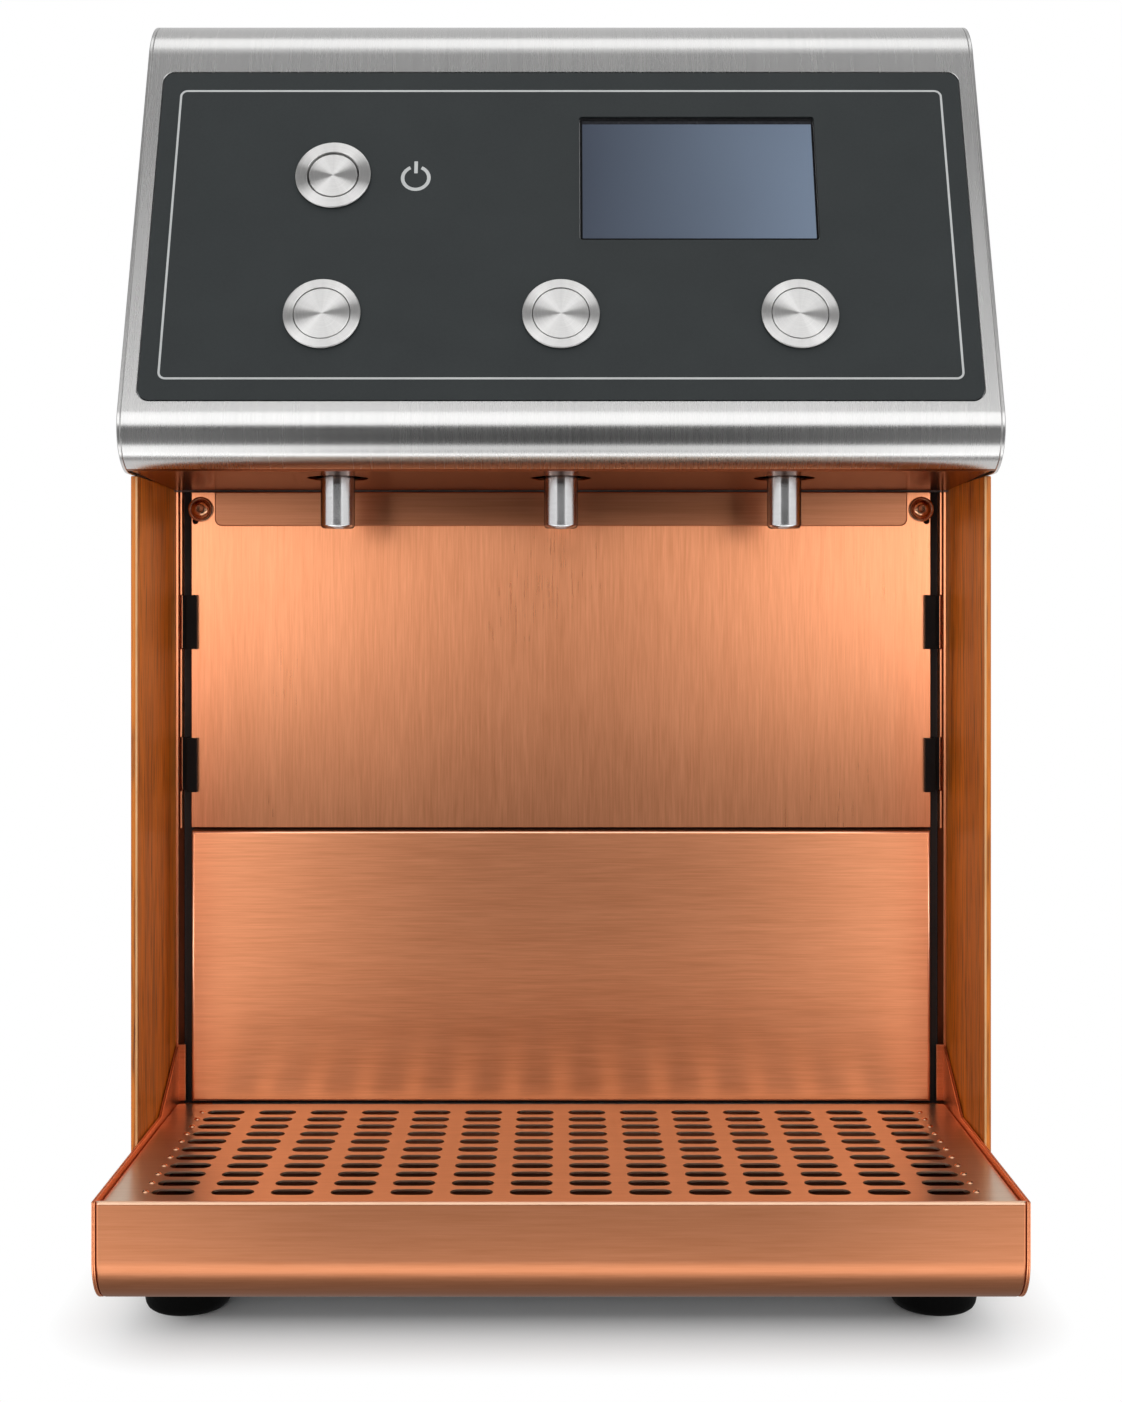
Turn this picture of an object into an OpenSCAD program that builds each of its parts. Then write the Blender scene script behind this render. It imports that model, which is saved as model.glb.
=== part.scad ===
// Countertop dispenser for hot mulled wine: three spouts under a sloping control
// head, a cup bay between two wooden cheeks, and a sliding drip tray in front.
// X runs across, Z is up, and the front faces -Y. Every Y below is counted from
// the foremost line of the head's nose, and place() moves it to the base centre.

/* [Overall] */
// Width over the wooden cheeks and the head
overall_w = 355; // [340:1:380]
// Height from the floor to the top cover
overall_h = 539; // [530:1:550]
// Depth from the drip tray's front to the rear cover
overall_d = 430; // [415:1:460]
// Distance from the floor to the underside of the sheet-metal body
foot_h = 20.7; // [18:0.1:24]

/* [Head] */
// Radius of the bullnose along the head's lower front edge
nose_r = 17.9; // [16:0.1:19]
// Height of the lowest line of the nose
nose_bottom_z = 336.9; // [330:0.1:342]
// Lean of the sloping face from the vertical
lean = 19.8; // [17:0.1:22]
// Radius of the head's upper front edge
top_r = 28; // [20:0.5:30]
// Thickness of the stainless sheet
steel_t = 1.5; // [1.2:0.1:1.8]
// Depth of the hood's top, from the nose to the seam with the top cover
hood_d = 150; // [140:1:165]

/* [Fascia] */
// Distance from the head's ends to the slate-grey fascia plate
fascia_in = 7.5; // [5:0.1:12]
// Height of the fascia plate, along the slope
fascia_h = 155.5; // [152:0.5:157]
// Thickness of the fascia plate
fascia_t = 1.6; // [1.4:0.1:2]
// Radius of the fascia plate's corners
fascia_r = 5; // [3:0.5:8]
// Distance along the slope from the nose's end to the fascia plate
fascia_up = 4.8; // [4.4:0.1:5.5]
// Width of the display window
window_w = 99; // [95:0.5:102]
// Height of the display window
window_h = 59.5; // [56:0.5:61]
// Place of the window's centre to the right of the middle
window_x = 57.5; // [54:0.5:60]
// Height of the window's centre up the fascia
window_v = 103.9; // [102:0.5:107]

/* [Buttons] */
// Diameter of a button's flange
flange_dia = 31.6; // [30:0.1:34]
// Height of the flange above the fascia
flange_h = 2.2; // [1.8:0.1:3]
// Diameter of a button's moving cap
cap_dia = 23; // [21:0.1:24]
// Running clearance round a cap
cap_gap = 0.2; // [0.15:0.01:0.3]
// Travel of a cap
cap_travel = 1.5; // [1:0.1:2]
// Spacing of the three dispensing buttons
button_pitch = 97.4; // [94:0.1:100]
// Height of the dispensing buttons up the fascia
button_v = 38.5; // [36:0.5:42]
// Place of the power button to the left of the middle
power_x = 95.5; // [90:0.5:100]
// Height of the power button up the fascia
power_v = 103.9; // [102:0.1:108]

/* [Spouts] */
// Spacing of the spouts
spout_pitch = 94.2; // [92:0.1:98]
// Outer diameter of a spout
spout_dia = 14.3; // [13:0.1:16]
// Bore of a spout
spout_bore = 10; // [8:0.1:11]
// Distance of the spouts behind the nose
spout_y = 43; // [40:0.5:50]
// Height of the spouts' mouths above the floor
spout_z = 315.8; // [312:0.1:322]
// Diameter of the clearance holes round the spouts
spout_hole_dia = 25.7; // [22:0.1:28]

/* [Cup bay] */
// Thickness of a wooden cheek
cheek_t = 2.7; // [2.2:0.1:3]
// Distance of a cheek's front edge behind the nose
cheek_y = 25.2; // [24:0.5:30]
// Distance of the bay's back wall behind the nose
wall_y = 97.2; // [95:0.1:100]
// Thickness of the copper-coloured sheet
copper_t = 1.2; // [1:0.1:1.4]
// Distance from a cheek's inner face to the back wall's panels
panel_in = 7.9; // [7.2:0.1:9.8]
// Height of the seam between the two panels
seam_z = 182.2; // [175:0.1:190]
// Height of a panel clip
clip_h = 24.4; // [22:0.1:27]
// Heights of the centres of the lower and the upper clips
clip_low_z = 211.4; // [208:0.1:220]
clip_high_z = 275.9; // [265:0.1:282]

/* [Drip tray] */
// Distance of the tray's front ahead of the nose
tray_proud = 51.5; // [48:0.5:56]
// Height of the tray's rim above the floor
tray_rim_z = 61.6; // [60:0.1:64]
// Radius of the tray's bullnose
tray_nose_r = 19; // [17:0.5:20]
// Thickness of the tray's sheet
tray_t = 1.4; // [1.2:0.1:1.6]
// Depth of the grille below the rim
grille_drop = 2.6; // [2:0.1:3]
// Length and width of a slot in the grille
slot_l = 16.4; // [15:0.1:17]
slot_w = 7.2; // [6:0.1:7.6]
// Number of slots across and from front to back
slot_columns = 14; // [10:1:14]
slot_rows = 11; // [8:1:11]

/* [Hidden] */
$fn = 64;
steel = "silver";
copper = "#c98563";
walnut = "#8a4a1c";
slate = "#3d4242";
black = "#1b1b1b";
half_w = overall_w / 2;
fascia_w = overall_w - 2 * fascia_in;
mid_y = overall_d / 2 - tray_proud;
rear_y = overall_d - tray_proud;
overrun = 1; // how far a cut reaches past the face that it opens
seam_gap = 0.3; // gap left between sheets that meet edge to edge

// The head's outline: a nose arc, the sloping face, and the rounded upper edge
nose_z = nose_bottom_z + nose_r;
face_y = nose_r - nose_r * cos(lean);
face_z = nose_z + nose_r * sin(lean);
top_arc_z = overall_h - top_r;
top_arc_y = face_y + (top_arc_z - face_z) * tan(lean) + top_r / cos(lean);
lip_share = 0.72;
flat_drop = 0.05; // how far the flat top lies below the upper bend's crest
flat_lap = 9; // degrees by which that bend runs on into the flat
lip_y = nose_r * lip_share; // where the hood's bullnose ends and the soffit starts

// The soffit falls a little towards the back wall
soffit_fall = 2.1;
soffit_rear_z = nose_bottom_z - soffit_fall;
soffit_tilt = atan((nose_bottom_z - soffit_rear_z) / (wall_y - cheek_y));
soffit_front_z = nose_bottom_z + (cheek_y - lip_y) * tan(soffit_tilt);
strip_h = 15.6; // depth of that flange
strip_clip = 3; // its clipped lower corners

// Buttons are bought-in push switches on a 28 mm thread
flange_rim = 2; // how far a switch's flange laps over its thread
thread_dia = flange_dia - 2 * flange_rim;
housing_l = 30; // depth of a switch behind its flange
cap_l = 6; // length of a cap
cap_sink = 0.2; // how far a dispensing cap stands below its flange
cap_edge = 0.3; // broken edge of a cap
flange_edge = 0.7; // broken edge of a flange
power_ring = 0.8; // extra width of the dark ring round the power button's cap
power_cap_dia = cap_dia - 2 * power_ring;
power_cap_sink = 0.8;
well_spare = 1; // depth of a cap's well beyond its travel
cap_well = cap_l + cap_travel + well_spare;
nut_w = 34; // width of a switch nut across its flats
nut_h = 5;
cutout_gap = 0.2; // radial play of a switch in its plates

window_gap = 0.3; // play of the glass in the window
window_sink = 0.6; // how far the glass lies below the fascia
window_r = 1.2;
module_w = 105.5; // outline of the display module
module_h = 67.2;
module_t = 4;
plate_margin = 5; // how far the backplate laps behind the hood
hood_cut_gap = 0.4; // gap round the fascia in the hood's opening
board_w = 120;
board_h = 84;
board_t = 1.6;
board_back = 13; // distance from the backplate to the board
standoff_dia = 7;
standoff_in = 5; // distance of a standoff from the board's edges
chip_size = [26, 26, 3];
plug_size = [40, 9, 9];

cheek_in = half_w - cheek_t; // inner face of a cheek
panel_half = cheek_in - panel_in;
panel_w = 2 * panel_half;
panel_lap = 8; // depth of the lower panel's folded edges
liner_t = 1.2; // outer leg of a side frame
rib_t = 1; // its inner leg
rib_in = 1.9; // distance of the inner leg from the cheek
rib_x = cheek_in - rib_in; // outer face of that leg
frame_back = 4.3; // how far the frames stand behind the wall's line
frame_y = wall_y + frame_back;
frame_d = 14;
frame_flange = 16; // how far a side frame's rear flange turns inwards
clip_reach = 2.9; // how far a clip laps over the service panel
clip_t = 2.2; // thickness of its lapping tongue
clip_play = 0.1;
clip_notch_d = 3.4; // depth of a clip's notch in the side frame
screw_in = 4.3; // distance of the service panel's screws from its edge
screw_x = panel_half - screw_in;
screw_drop = 8; // their distance below the soffit
screw_ring_dia = 11.3;
screw_ring_h = 0.8;
strip_gap = 0.75; // distance from a screw's ring to the soffit's rear flange
strip_half_w = screw_x - screw_ring_dia / 2 - strip_gap; // half that flange's width
screw_dome_dia = 8.2;
screw_dome_h = 2.4;
screw_shank_dia = 4;
screw_l = 11;
notch_dia = 2.8; // small round end of the keyhole beside each screw
notch_out = 2.5;
notch_down = 5.2;

deck_t = 2; // thickness of the head deck and the base plate
deck_z = nose_bottom_z - deck_t;
deck_y = wall_y + copper_t + seam_gap;
post_w = 14; // legs of a rear post
post_t = 2;
play = 0.2; // radial play of a screw in its hole
lid_w = overall_w - 2 * steel_t;
lid_y = hood_d + seam_gap;
lid_screw_dia = 7;
lid_shank_dia = 4;
lid_screw_l = 12;
lid_screw_in = 12;
lid_flange_w = 22; // turned-in flange of an end plate under the lid
rear_lip = 25; // turned-down rear edge of the top cover
rear_top_z = overall_h - rear_lip - seam_gap;
rear_screw_dia = 5;
rear_screw_l = 10;

tray_gap = 0.4; // play between the tray and a cheek
tray_half = cheek_in - tray_gap;
wall_gap = 0.6; // gap between the tray and the back wall
tray_rear_y = wall_y - wall_gap;
floor_up = 9.5; // height of the tray's floor above the base plate's underside
tray_floor_z = foot_h + floor_up;
tray_mid_r = tray_nose_r - tray_t / 2; // middle of the bullnose's sheet
floor_drop = foot_h + tray_nose_r - tray_floor_z - tray_t / 2;
floor_front_y = // where the floor meets the bullnose
    -tray_proud + tray_nose_r - sqrt(tray_mid_r * tray_mid_r - floor_drop * floor_drop);
grille_t = 0.8;
grille_z = tray_rim_z - grille_drop; // top face of the grille
grille_gap = 0.6;
grille_half = tray_half - tray_t - grille_gap;
grille_front_y = -tray_proud + tray_t + grille_gap;
grille_rear_y = tray_rear_y - tray_t - grille_gap;
ledge_w = 6; // inward shelf that carries the grille
ledge_t = 1.6;
fin_start_y = 63; // where a guard fin leaves the rim
fin_top_y = 98.2; // where its sloping edge ends
fin_top_z = 83; // height of the fin there
fin_end_z = 84.6; // height at its folded rear edge
fin_rear_y = frame_y - seam_gap;
fin_return = 4.4; // width of the folded rear edge
runner_w = 12;
runner_in = 54.4; // distance of a runner from the tray's side
runner_x = tray_half - runner_in;
runner_play = 0.3;
pip_dia = 2.6;
pip_h = 0.7;
pip_out = 2.3; // distance of a pip from the end of its row
slots_from_side = 24.2; // from the grille's sides to the outer slots' centres
slots_from_front = 18.1; // from its front edge to the first row
slots_from_rear = 14; // from its rear edge to the last row
first_row_y = grille_front_y + slots_from_front;
row_pitch = (grille_rear_y - slots_from_rear - first_row_y) / (slot_rows - 1);
column_pitch = 2 * (grille_half - slots_from_side) / (slot_columns - 1);

foot_dia = 36;
foot_low_dia = 33.6;
foot_round = 3;
foot_in = 26.3; // distance of the feet from the cheeks' outer faces
foot_x = half_w - foot_in;
foot_front_y = 13.5;
foot_rear_in = 40; // distance of the rear feet from the rear cover
foot_rear_y = rear_y - foot_rear_in;
foot_screw_dia = 5;
foot_head_dia = 10;
foot_head_h = 3;
foot_counterbore = 8; // depth of the screw's well in the rubber
tongue_in = 4.8; // distance of the base plate's front tongue from the cheeks
tongue_half = cheek_in - tongue_in;
tongue_front_y = -22;
pan_wall_h = 34; // height of the base plate's wall behind the lower panel

vent_l = 60;
vent_w = 4;
vent_pitch = 9;
vent_rows = 12;
vent_drop = 128.7; // distance of the lowest slot below the rear cover's top
vent_z = rear_top_z - vent_drop;
vent_x = 80;
rear_screw_in = 8;

// Hot side: heater, pump, power supply, valves and their hoses
hose_r = 5;
hose_bore_r = 3.2;
bend_r = 14;
barb_play = 0.1;
barb_r = hose_bore_r - barb_play;
barb_bore_r = 2;
barb_l = 8;
valve_size = [34, 30, 36];
valve_z = 348;
valve_y = 92;
valve_port_up = 26; // height of a valve's ports above its foot
valve_port_z = valve_z + valve_port_up;
coil_r = 13;
coil_l = 30;
port_r = 6;
port_l = 5;
rail_z = valve_z - steel_t;
bar_size = [lid_w, 18, 4];
bar_z = 343;
collar_r = 10;
collar_h = 3;
mouth_edge = 0.5; // broken lower rim of a spout
collar_z = bar_z + bar_size.z;
spout_top_z = collar_z + collar_h;
manifold_end = 13.8; // how far the manifold reaches past the outer valves' ports
manifold_size = [2 * (spout_pitch + manifold_end), 22, 36];
manifold_y = 148;
pump_in = 79.8; // distance of the pump's centre from the right cheek
pump_rear = 108.5; // and from the rear cover's outer face
pump_x = cheek_in - pump_in;
pump_y = rear_y - pump_rear;
pump_size = [70, 60, 62];
pump_port_back = 20; // distance of its upper port ahead of its centre
supply_size = [150, 60, 42];
heater_lift = 5.3; // gap between the power supply and the heater above it
heater_r = 52;
heater_h = 190;
heater_in = 99.8; // distance of the heater's axis from the left cheek
heater_x = heater_in - cheek_in;
heater_y = pump_y - pump_port_back;
heater_z = foot_h + deck_t + supply_size.z + heater_lift;
heater_port_up = 100; // height of the heater's lower port
heater_rim_r = 58;
heater_rim_h = 8;
saddle_t = 3;
saddle_w = 130;
probe_r = 3;
probe_l = 40;
probe_head_r = 8;
probe_head_h = 18;
pump_port_x = pump_x - pump_size.x / 4;
pump_port_z = foot_h + deck_t + pump_size.z + port_l;
motor_r = 24;
motor_l = 58;
supply_x = heater_x;
supply_y = 148;
heater_port_x = heater_x + heater_r / 2;
heater_port_y = heater_y + heater_r / 2;
inlet_x = pump_x;
inlet_z = 74;
inlet_r = 8;
inlet_hex = 24;
inlet_hex_h = 8;
inlet_barrel_h = 8;
tube_socket_r = 4.8; // push-in socket for a 9.5 mm drinks tube
tube_socket_l = 14;
inlet_l = steel_t + inlet_hex_h + inlet_barrel_h; // length without its barb
socket_in = 64.8; // distance of the mains inlet from the left cheek
socket_x = socket_in - cheek_in;
socket_z = 90;
socket_size = [48, 22, 28];
socket_hole = [28, 20];
socket_flange_t = 2;
shroud_t = 1.5;
pin_size = [2, 7, 4];
pin_pitch = 7;
pin_drop = 2;

// Moves a piece from the nose's line to the part's own origin.
module place() {
    translate([0, -mid_y, 0])
        children();
}

// Stands a side outline, drawn as Y and Z, across the width w from x0.
module across(x0, w) {
    translate([x0, 0, 0])
        rotate([90, 0, 90])
            linear_extrude(w)
                children();
}

// Stands a front outline, drawn as X and Z, at depth y with thickness t.
module upright(y, t) {
    translate([0, y + t, 0])
        rotate([90, 0, 0])
            linear_extrude(t)
                children();
}

// Lays the children on the sloping face: x across, y up the slope, z outwards.
module on_face(x = 0, v = 0, out = 0) {
    translate([0, face_y, face_z])
        rotate([90 - lean, 0, 0])
            translate([x, fascia_up + v, out])
                children();
}

// A rectangle with round corners, centred in x and standing on y = 0.
module soft_rect(w, h, r) {
    translate([-w / 2 + r, 0])
        square([w - 2 * r, h]);
    translate([-w / 2, r])
        square([w, h - 2 * r]);
    for (x = [-w / 2 + r, w / 2 - r], y = [r, h - r])
        translate([x, y])
            circle(r);
}

// The same rectangle, centred in both directions.
module soft_rect_mid(w, h, r) {
    translate([0, -h / 2])
        soft_rect(w, h, r);
}

// The head's solid side outline.
module head_outline() {
    translate([nose_r, nose_z])
        circle(nose_r);
    translate([top_arc_y, top_arc_z])
        circle(top_r);
    polygon([
        [nose_r, nose_bottom_z],
        [nose_r, nose_z],
        [face_y, face_z],
        [top_arc_y - top_r * cos(lean), top_arc_z + top_r * sin(lean)],
        [top_arc_y, top_arc_z],
        [top_arc_y, overall_h],
        [rear_y, overall_h],
        [rear_y, nose_bottom_z]
    ]);
}

// HEAD

// One round bend of the hood's sheet, from the x axis on.
module hood_bend(r, sweep) {
    rotate_extrude(angle = sweep)
        translate([r - steel_t, 0])
            square([steel_t, lid_w]);
}

// One flat of the hood's sheet, against the start of a bend of that radius.
module hood_flat(r, l) {
    translate([r - steel_t, -l, 0])
        cube([steel_t, l, lid_w]);
}

// Folded stainless sheet: bullnose, sloping face and the front of the top.
module hood() {
    face_l = (top_arc_z + top_r * sin(lean) - face_z) / cos(lean);
    place() color(steel) difference() {
        translate([-lid_w / 2, nose_r, nose_z])
            rotate([90, 0, 90])
                rotate([0, 0, 180 - lean]) {
                    hood_bend(nose_r, lean + acos(1 - lip_share));
                    hood_flat(nose_r, face_l);
                    translate([nose_r - top_r, -face_l, 0])
                        mirror([0, 1, 0]) {
                            hood_bend(top_r, 90 - lean + flat_lap);
                            rotate([0, 0, 90 - lean])
                                mirror([0, 1, 0])
                                    hood_flat(top_r - flat_drop, hood_d - top_arc_y);
                        }
                }
        on_face(0, -hood_cut_gap, -nose_r)
            linear_extrude(2 * nose_r)
                soft_rect(
                    fascia_w + 2 * hood_cut_gap, fascia_h + 2 * hood_cut_gap,
                    fascia_r + hood_cut_gap
                );
    }
}

// End plate of the head, as deep as the whole machine.
module head_side(side) {
    flange_x = side > 0 ? half_w - steel_t - lid_flange_w : -half_w + steel_t;
    place() color(steel) {
        across(side > 0 ? half_w - steel_t : -half_w, steel_t)
            head_outline();
        difference() {
            translate([flange_x, lid_y, overall_h - 2 * steel_t])
                cube([lid_flange_w, rear_y - steel_t - lid_y, steel_t]);
            lid_screw_places()
                translate([0, 0, -2 * steel_t - overrun])
                    cylinder(h = 2 * steel_t, d = lid_shank_dia + 2 * play);
        }
    }
}

// Places the four lid screws, seen from above.
module lid_screw_places() {
    for (x = [-1, 1], y = [lid_y + lid_screw_in, rear_y - 2 * lid_screw_in])
        translate([x * (lid_w / 2 - lid_screw_in), y, overall_h])
            children();
}

// Removable rear half of the top, with its rear edge turned down.
module top_cover() {
    place() color(steel) difference() {
        across(-lid_w / 2, lid_w) {
            translate([lid_y, overall_h - steel_t])
                square([rear_y - lid_y, steel_t]);
            translate([rear_y - steel_t, overall_h - rear_lip])
                square([steel_t, rear_lip]);
        }
        lid_screw_places()
            translate([0, 0, -steel_t - overrun])
                cylinder(h = steel_t + 2 * overrun, d = lid_screw_dia + 2 * play);
    }
}

// Four flush screws through the top cover into the end plates' flanges.
module top_cover_screws() {
    place() color(steel)
        lid_screw_places() {
            translate([0, 0, -steel_t])
                cylinder(h = steel_t, d = lid_screw_dia);
            translate([0, 0, -lid_screw_l])
                cylinder(h = lid_screw_l, d = lid_shank_dia);
        }
}

// The openings that the fascia and its backplate share, one for each fitting.
module fittings(hole_dia) {
    for (x = [-button_pitch, 0, button_pitch])
        translate([x, button_v])
            circle(d = hole_dia);
    translate([-power_x, power_v])
        circle(d = hole_dia);
}

// Slate-grey plate let into the hood's sloping face.
module fascia() {
    place() color(slate) on_face(0, 0, -fascia_t)
        linear_extrude(fascia_t)
            difference() {
                soft_rect(fascia_w, fascia_h, fascia_r);
                fittings(thread_dia + 2 * cutout_gap);
                translate([window_x, window_v])
                    soft_rect_mid(
                        window_w + 2 * window_gap, window_h + 2 * window_gap,
                        window_r
                    );
            }
}

// Steel plate behind the fascia that laps behind the hood and carries the switches.
module fascia_backplate() {
    place() color(steel) on_face(0, -plate_margin, -fascia_t - steel_t)
        linear_extrude(steel_t)
            difference() {
                soft_rect(fascia_w + 2 * plate_margin, fascia_h + 2 * plate_margin, fascia_r);
                translate([0, plate_margin]) {
                    fittings(thread_dia + 2 * cutout_gap);
                    translate([window_x, window_v])
                        soft_rect_mid(
                            window_w - 2 * window_r, window_h - 2 * window_r,
                            window_r
                        );
                }
            }
}

// Toughened glass of the display, sunk a little into the fascia.
module display_window() {
    place() color("#6d7a93") on_face(window_x, window_v, -fascia_t)
        linear_extrude(fascia_t - window_sink)
            soft_rect_mid(window_w, window_h, window_r);
}

// Display module bonded behind the backplate's opening.
module display_module() {
    place() color(black)
        on_face(window_x, window_v, -fascia_t - steel_t - module_t)
            linear_extrude(module_t)
                soft_rect_mid(module_w, module_h, window_r);
}

// Places the board's four standoffs, on the backplate's rear face.
module standoff_places() {
    for (x = [-1, 1], y = [-1, 1])
        on_face(
            window_x + x * (board_w / 2 - standoff_in),
            window_v + y * (board_h / 2 - standoff_in),
            -fascia_t - steel_t
        )
            children();
}

// Four turned pillars between the backplate and the control board.
module board_standoffs() {
    place() color("gold") standoff_places()
        translate([0, 0, -board_back])
            cylinder(h = board_back, d = standoff_dia);
}

// Control board with its processor and two plug strips.
module control_board() {
    board_out = -fascia_t - steel_t - board_back - board_t;
    place() color("darkgreen") on_face(window_x, window_v, board_out) {
        translate([-board_w / 2, -board_h / 2, 0])
            cube([board_w, board_h, board_t]);
        translate([-chip_size.x / 2, -chip_size.y / 2, -chip_size.z])
            cube(chip_size);
        for (y = [-1, 1])
            translate([
                -plug_size.x / 2,
                y * (board_h / 2 - plug_size.y) - plug_size.y / 2,
                -plug_size.z
            ])
                cube(plug_size);
    }
}

// Round housing of a push switch: flange on the fascia, threaded body, cap well.
module switch_housing(x, v, well_dia) {
    place() color("gainsboro") on_face(x, v)
        difference() {
            union() {
                cylinder(h = flange_h - flange_edge, d = flange_dia);
                translate([0, 0, flange_h - flange_edge])
                    cylinder(h = flange_edge, d1 = flange_dia, d2 = flange_dia - 2 * flange_edge);
                translate([0, 0, -housing_l])
                    cylinder(h = housing_l, d = thread_dia);
            }
            translate([0, 0, flange_h - cap_well])
                cylinder(h = cap_well + overrun, d = well_dia + 2 * cap_gap);
        }
}

// Moving cap of a push switch, a plain disc with a broken edge.
module switch_cap(x, v, dia, sink) {
    place() color("white") on_face(x, v, flange_h - sink - cap_l) {
        cylinder(h = cap_l - cap_edge, d = dia);
        translate([0, 0, cap_l - cap_edge])
            cylinder(h = cap_edge, d1 = dia, d2 = dia - 2 * cap_edge);
    }
}

// Hexagonal nuts that clamp the four switches to the backplate.
module button_nuts() {
    place() color("gold")
        for (at = [
            [-button_pitch, button_v], [0, button_v],
            [button_pitch, button_v], [-power_x, power_v]
        ])
            on_face(at.x, at.y, -fascia_t - steel_t - nut_h)
                difference() {
                    cylinder(h = nut_h, d = nut_w / cos(30), $fn = 6);
                    translate([0, 0, -overrun])
                        cylinder(h = nut_h + 2 * overrun, d = thread_dia);
                }
}

// Copper-coloured underside of the head, with its flange turned down at the rear.
module soffit() {
    soffit_l = (wall_y - lip_y) / cos(soffit_tilt);
    place() color(copper) {
        difference() {
            translate([0, lip_y + seam_gap, soffit_front_z])
                rotate([-soffit_tilt, 0, 0])
                    translate([seam_gap - cheek_in, 0, 0])
                        cube([2 * (cheek_in - seam_gap), soffit_l - seam_gap, copper_t]);
            for (x = [-spout_pitch, 0, spout_pitch])
                translate([x, spout_y, soffit_rear_z - overrun])
                    cylinder(h = nose_r, d = spout_hole_dia);
        }
        upright(wall_y - copper_t, copper_t)
            polygon([
                [-strip_half_w, soffit_rear_z],
                [-strip_half_w, soffit_rear_z - strip_h + strip_clip],
                [-strip_half_w + strip_clip, soffit_rear_z - strip_h],
                [strip_half_w - strip_clip, soffit_rear_z - strip_h],
                [strip_half_w, soffit_rear_z - strip_h + strip_clip],
                [strip_half_w, soffit_rear_z],
                [strip_half_w, soffit_rear_z + copper_t],
                [-strip_half_w, soffit_rear_z + copper_t]
            ]);
    }
}

// SPOUTS AND VALVES

// Bar between the end plates that clamps the three spouts.
module spout_bar() {
    place() color(steel) difference() {
        translate([-bar_size.x / 2, spout_y - bar_size.y / 2, bar_z])
            cube(bar_size);
        for (x = [-spout_pitch, 0, spout_pitch])
            translate([x, spout_y, bar_z - overrun])
                cylinder(h = bar_size.z + 2 * overrun, d = spout_dia + 2 * play);
    }
}

// Polished spout: straight tube with a collar on the bar and a hose barb on top.
module spout(x) {
    place() color(steel) translate([x, spout_y, 0])
        difference() {
            union() {
                translate([0, 0, spout_z])
                    cylinder(h = mouth_edge, d1 = spout_dia - 2 * mouth_edge, d2 = spout_dia);
                translate([0, 0, spout_z + mouth_edge])
                    cylinder(h = collar_z - spout_z - mouth_edge, d = spout_dia);
                translate([0, 0, collar_z])
                    cylinder(h = collar_h, r = collar_r);
                translate([0, 0, spout_top_z])
                    cylinder(h = barb_l, r = barb_r);
            }
            translate([0, 0, spout_z - overrun])
                cylinder(h = bar_z - spout_z + overrun, d = spout_bore);
            translate([0, 0, bar_z - overrun])
                cylinder(h = spout_top_z + barb_l - bar_z + 2 * overrun, r = barb_bore_r);
        }
}

// A hose as a walk of straight runs and bends: each step is [length, turn, bend].
// It starts upwards, turns about its own line, then bends towards that side.
module walk(steps, r, i = 0) {
    if (i < len(steps)) {
        run = steps[i];
        cylinder(h = run.x, r = r);
        translate([0, 0, run.x])
            rotate([0, 0, run.y]) {
                if (run.z > 0)
                    translate([bend_r, 0, 0])
                        rotate([90, 0, 0])
                            rotate([0, 0, 180 - run.z])
                                rotate_extrude(angle = run.z)
                                    translate([bend_r, 0])
                                        circle(r);
                translate([bend_r - bend_r * cos(run.z), 0, bend_r * sin(run.z)])
                    rotate([0, run.z, 0])
                        walk(steps, r, i + 1);
            }
    }
}

// The hose itself, with its bore all the way through.
module hose(steps) {
    difference() {
        walk(steps, hose_r);
        walk(steps, hose_bore_r);
    }
}

// Three short hoses from the valves' front ports down to the spouts.
module outlet_hoses() {
    back_run = valve_y - port_l - spout_y - bend_r;
    place() color(black)
        for (x = [-spout_pitch, 0, spout_pitch])
            translate([x, spout_y, spout_top_z])
                hose([[valve_port_z - bend_r - spout_top_z, 90, 90], [back_run, 0, 0]]);
}

// Folded rail across the head that carries the valves and the manifold.
module valve_rail() {
    rail_y = valve_y - port_l;
    rail_d = manifold_y + manifold_size.y - rail_y;
    place() color(steel) {
        translate([-lid_w / 2, rail_y, rail_z])
            cube([lid_w, rail_d, steel_t]);
        translate([-lid_w / 2, rail_y + rail_d - steel_t, nose_bottom_z])
            cube([lid_w, steel_t, rail_z - nose_bottom_z]);
    }
}

// Solenoid valve: brass body with ports in front and behind, and a coil on top.
module valve(x) {
    place() color("goldenrod") translate([x, valve_y, valve_z])
        difference() {
            union() {
                translate([-valve_size.x / 2, 0, 0])
                    cube(valve_size);
                translate([0, -port_l, valve_port_z - valve_z])
                    rotate([-90, 0, 0])
                        cylinder(h = port_l, r = port_r);
                translate([0, valve_size.y, valve_port_z - valve_z])
                    rotate([-90, 0, 0])
                        cylinder(h = manifold_y - valve_y - valve_size.y, r = port_r);
                translate([0, valve_size.y / 2, valve_size.z])
                    cylinder(h = coil_l, r = coil_r);
            }
            translate([0, -port_l - overrun, valve_port_z - valve_z])
                rotate([-90, 0, 0])
                    cylinder(h = port_l + 2 * overrun, r = hose_bore_r);
        }
}

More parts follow.
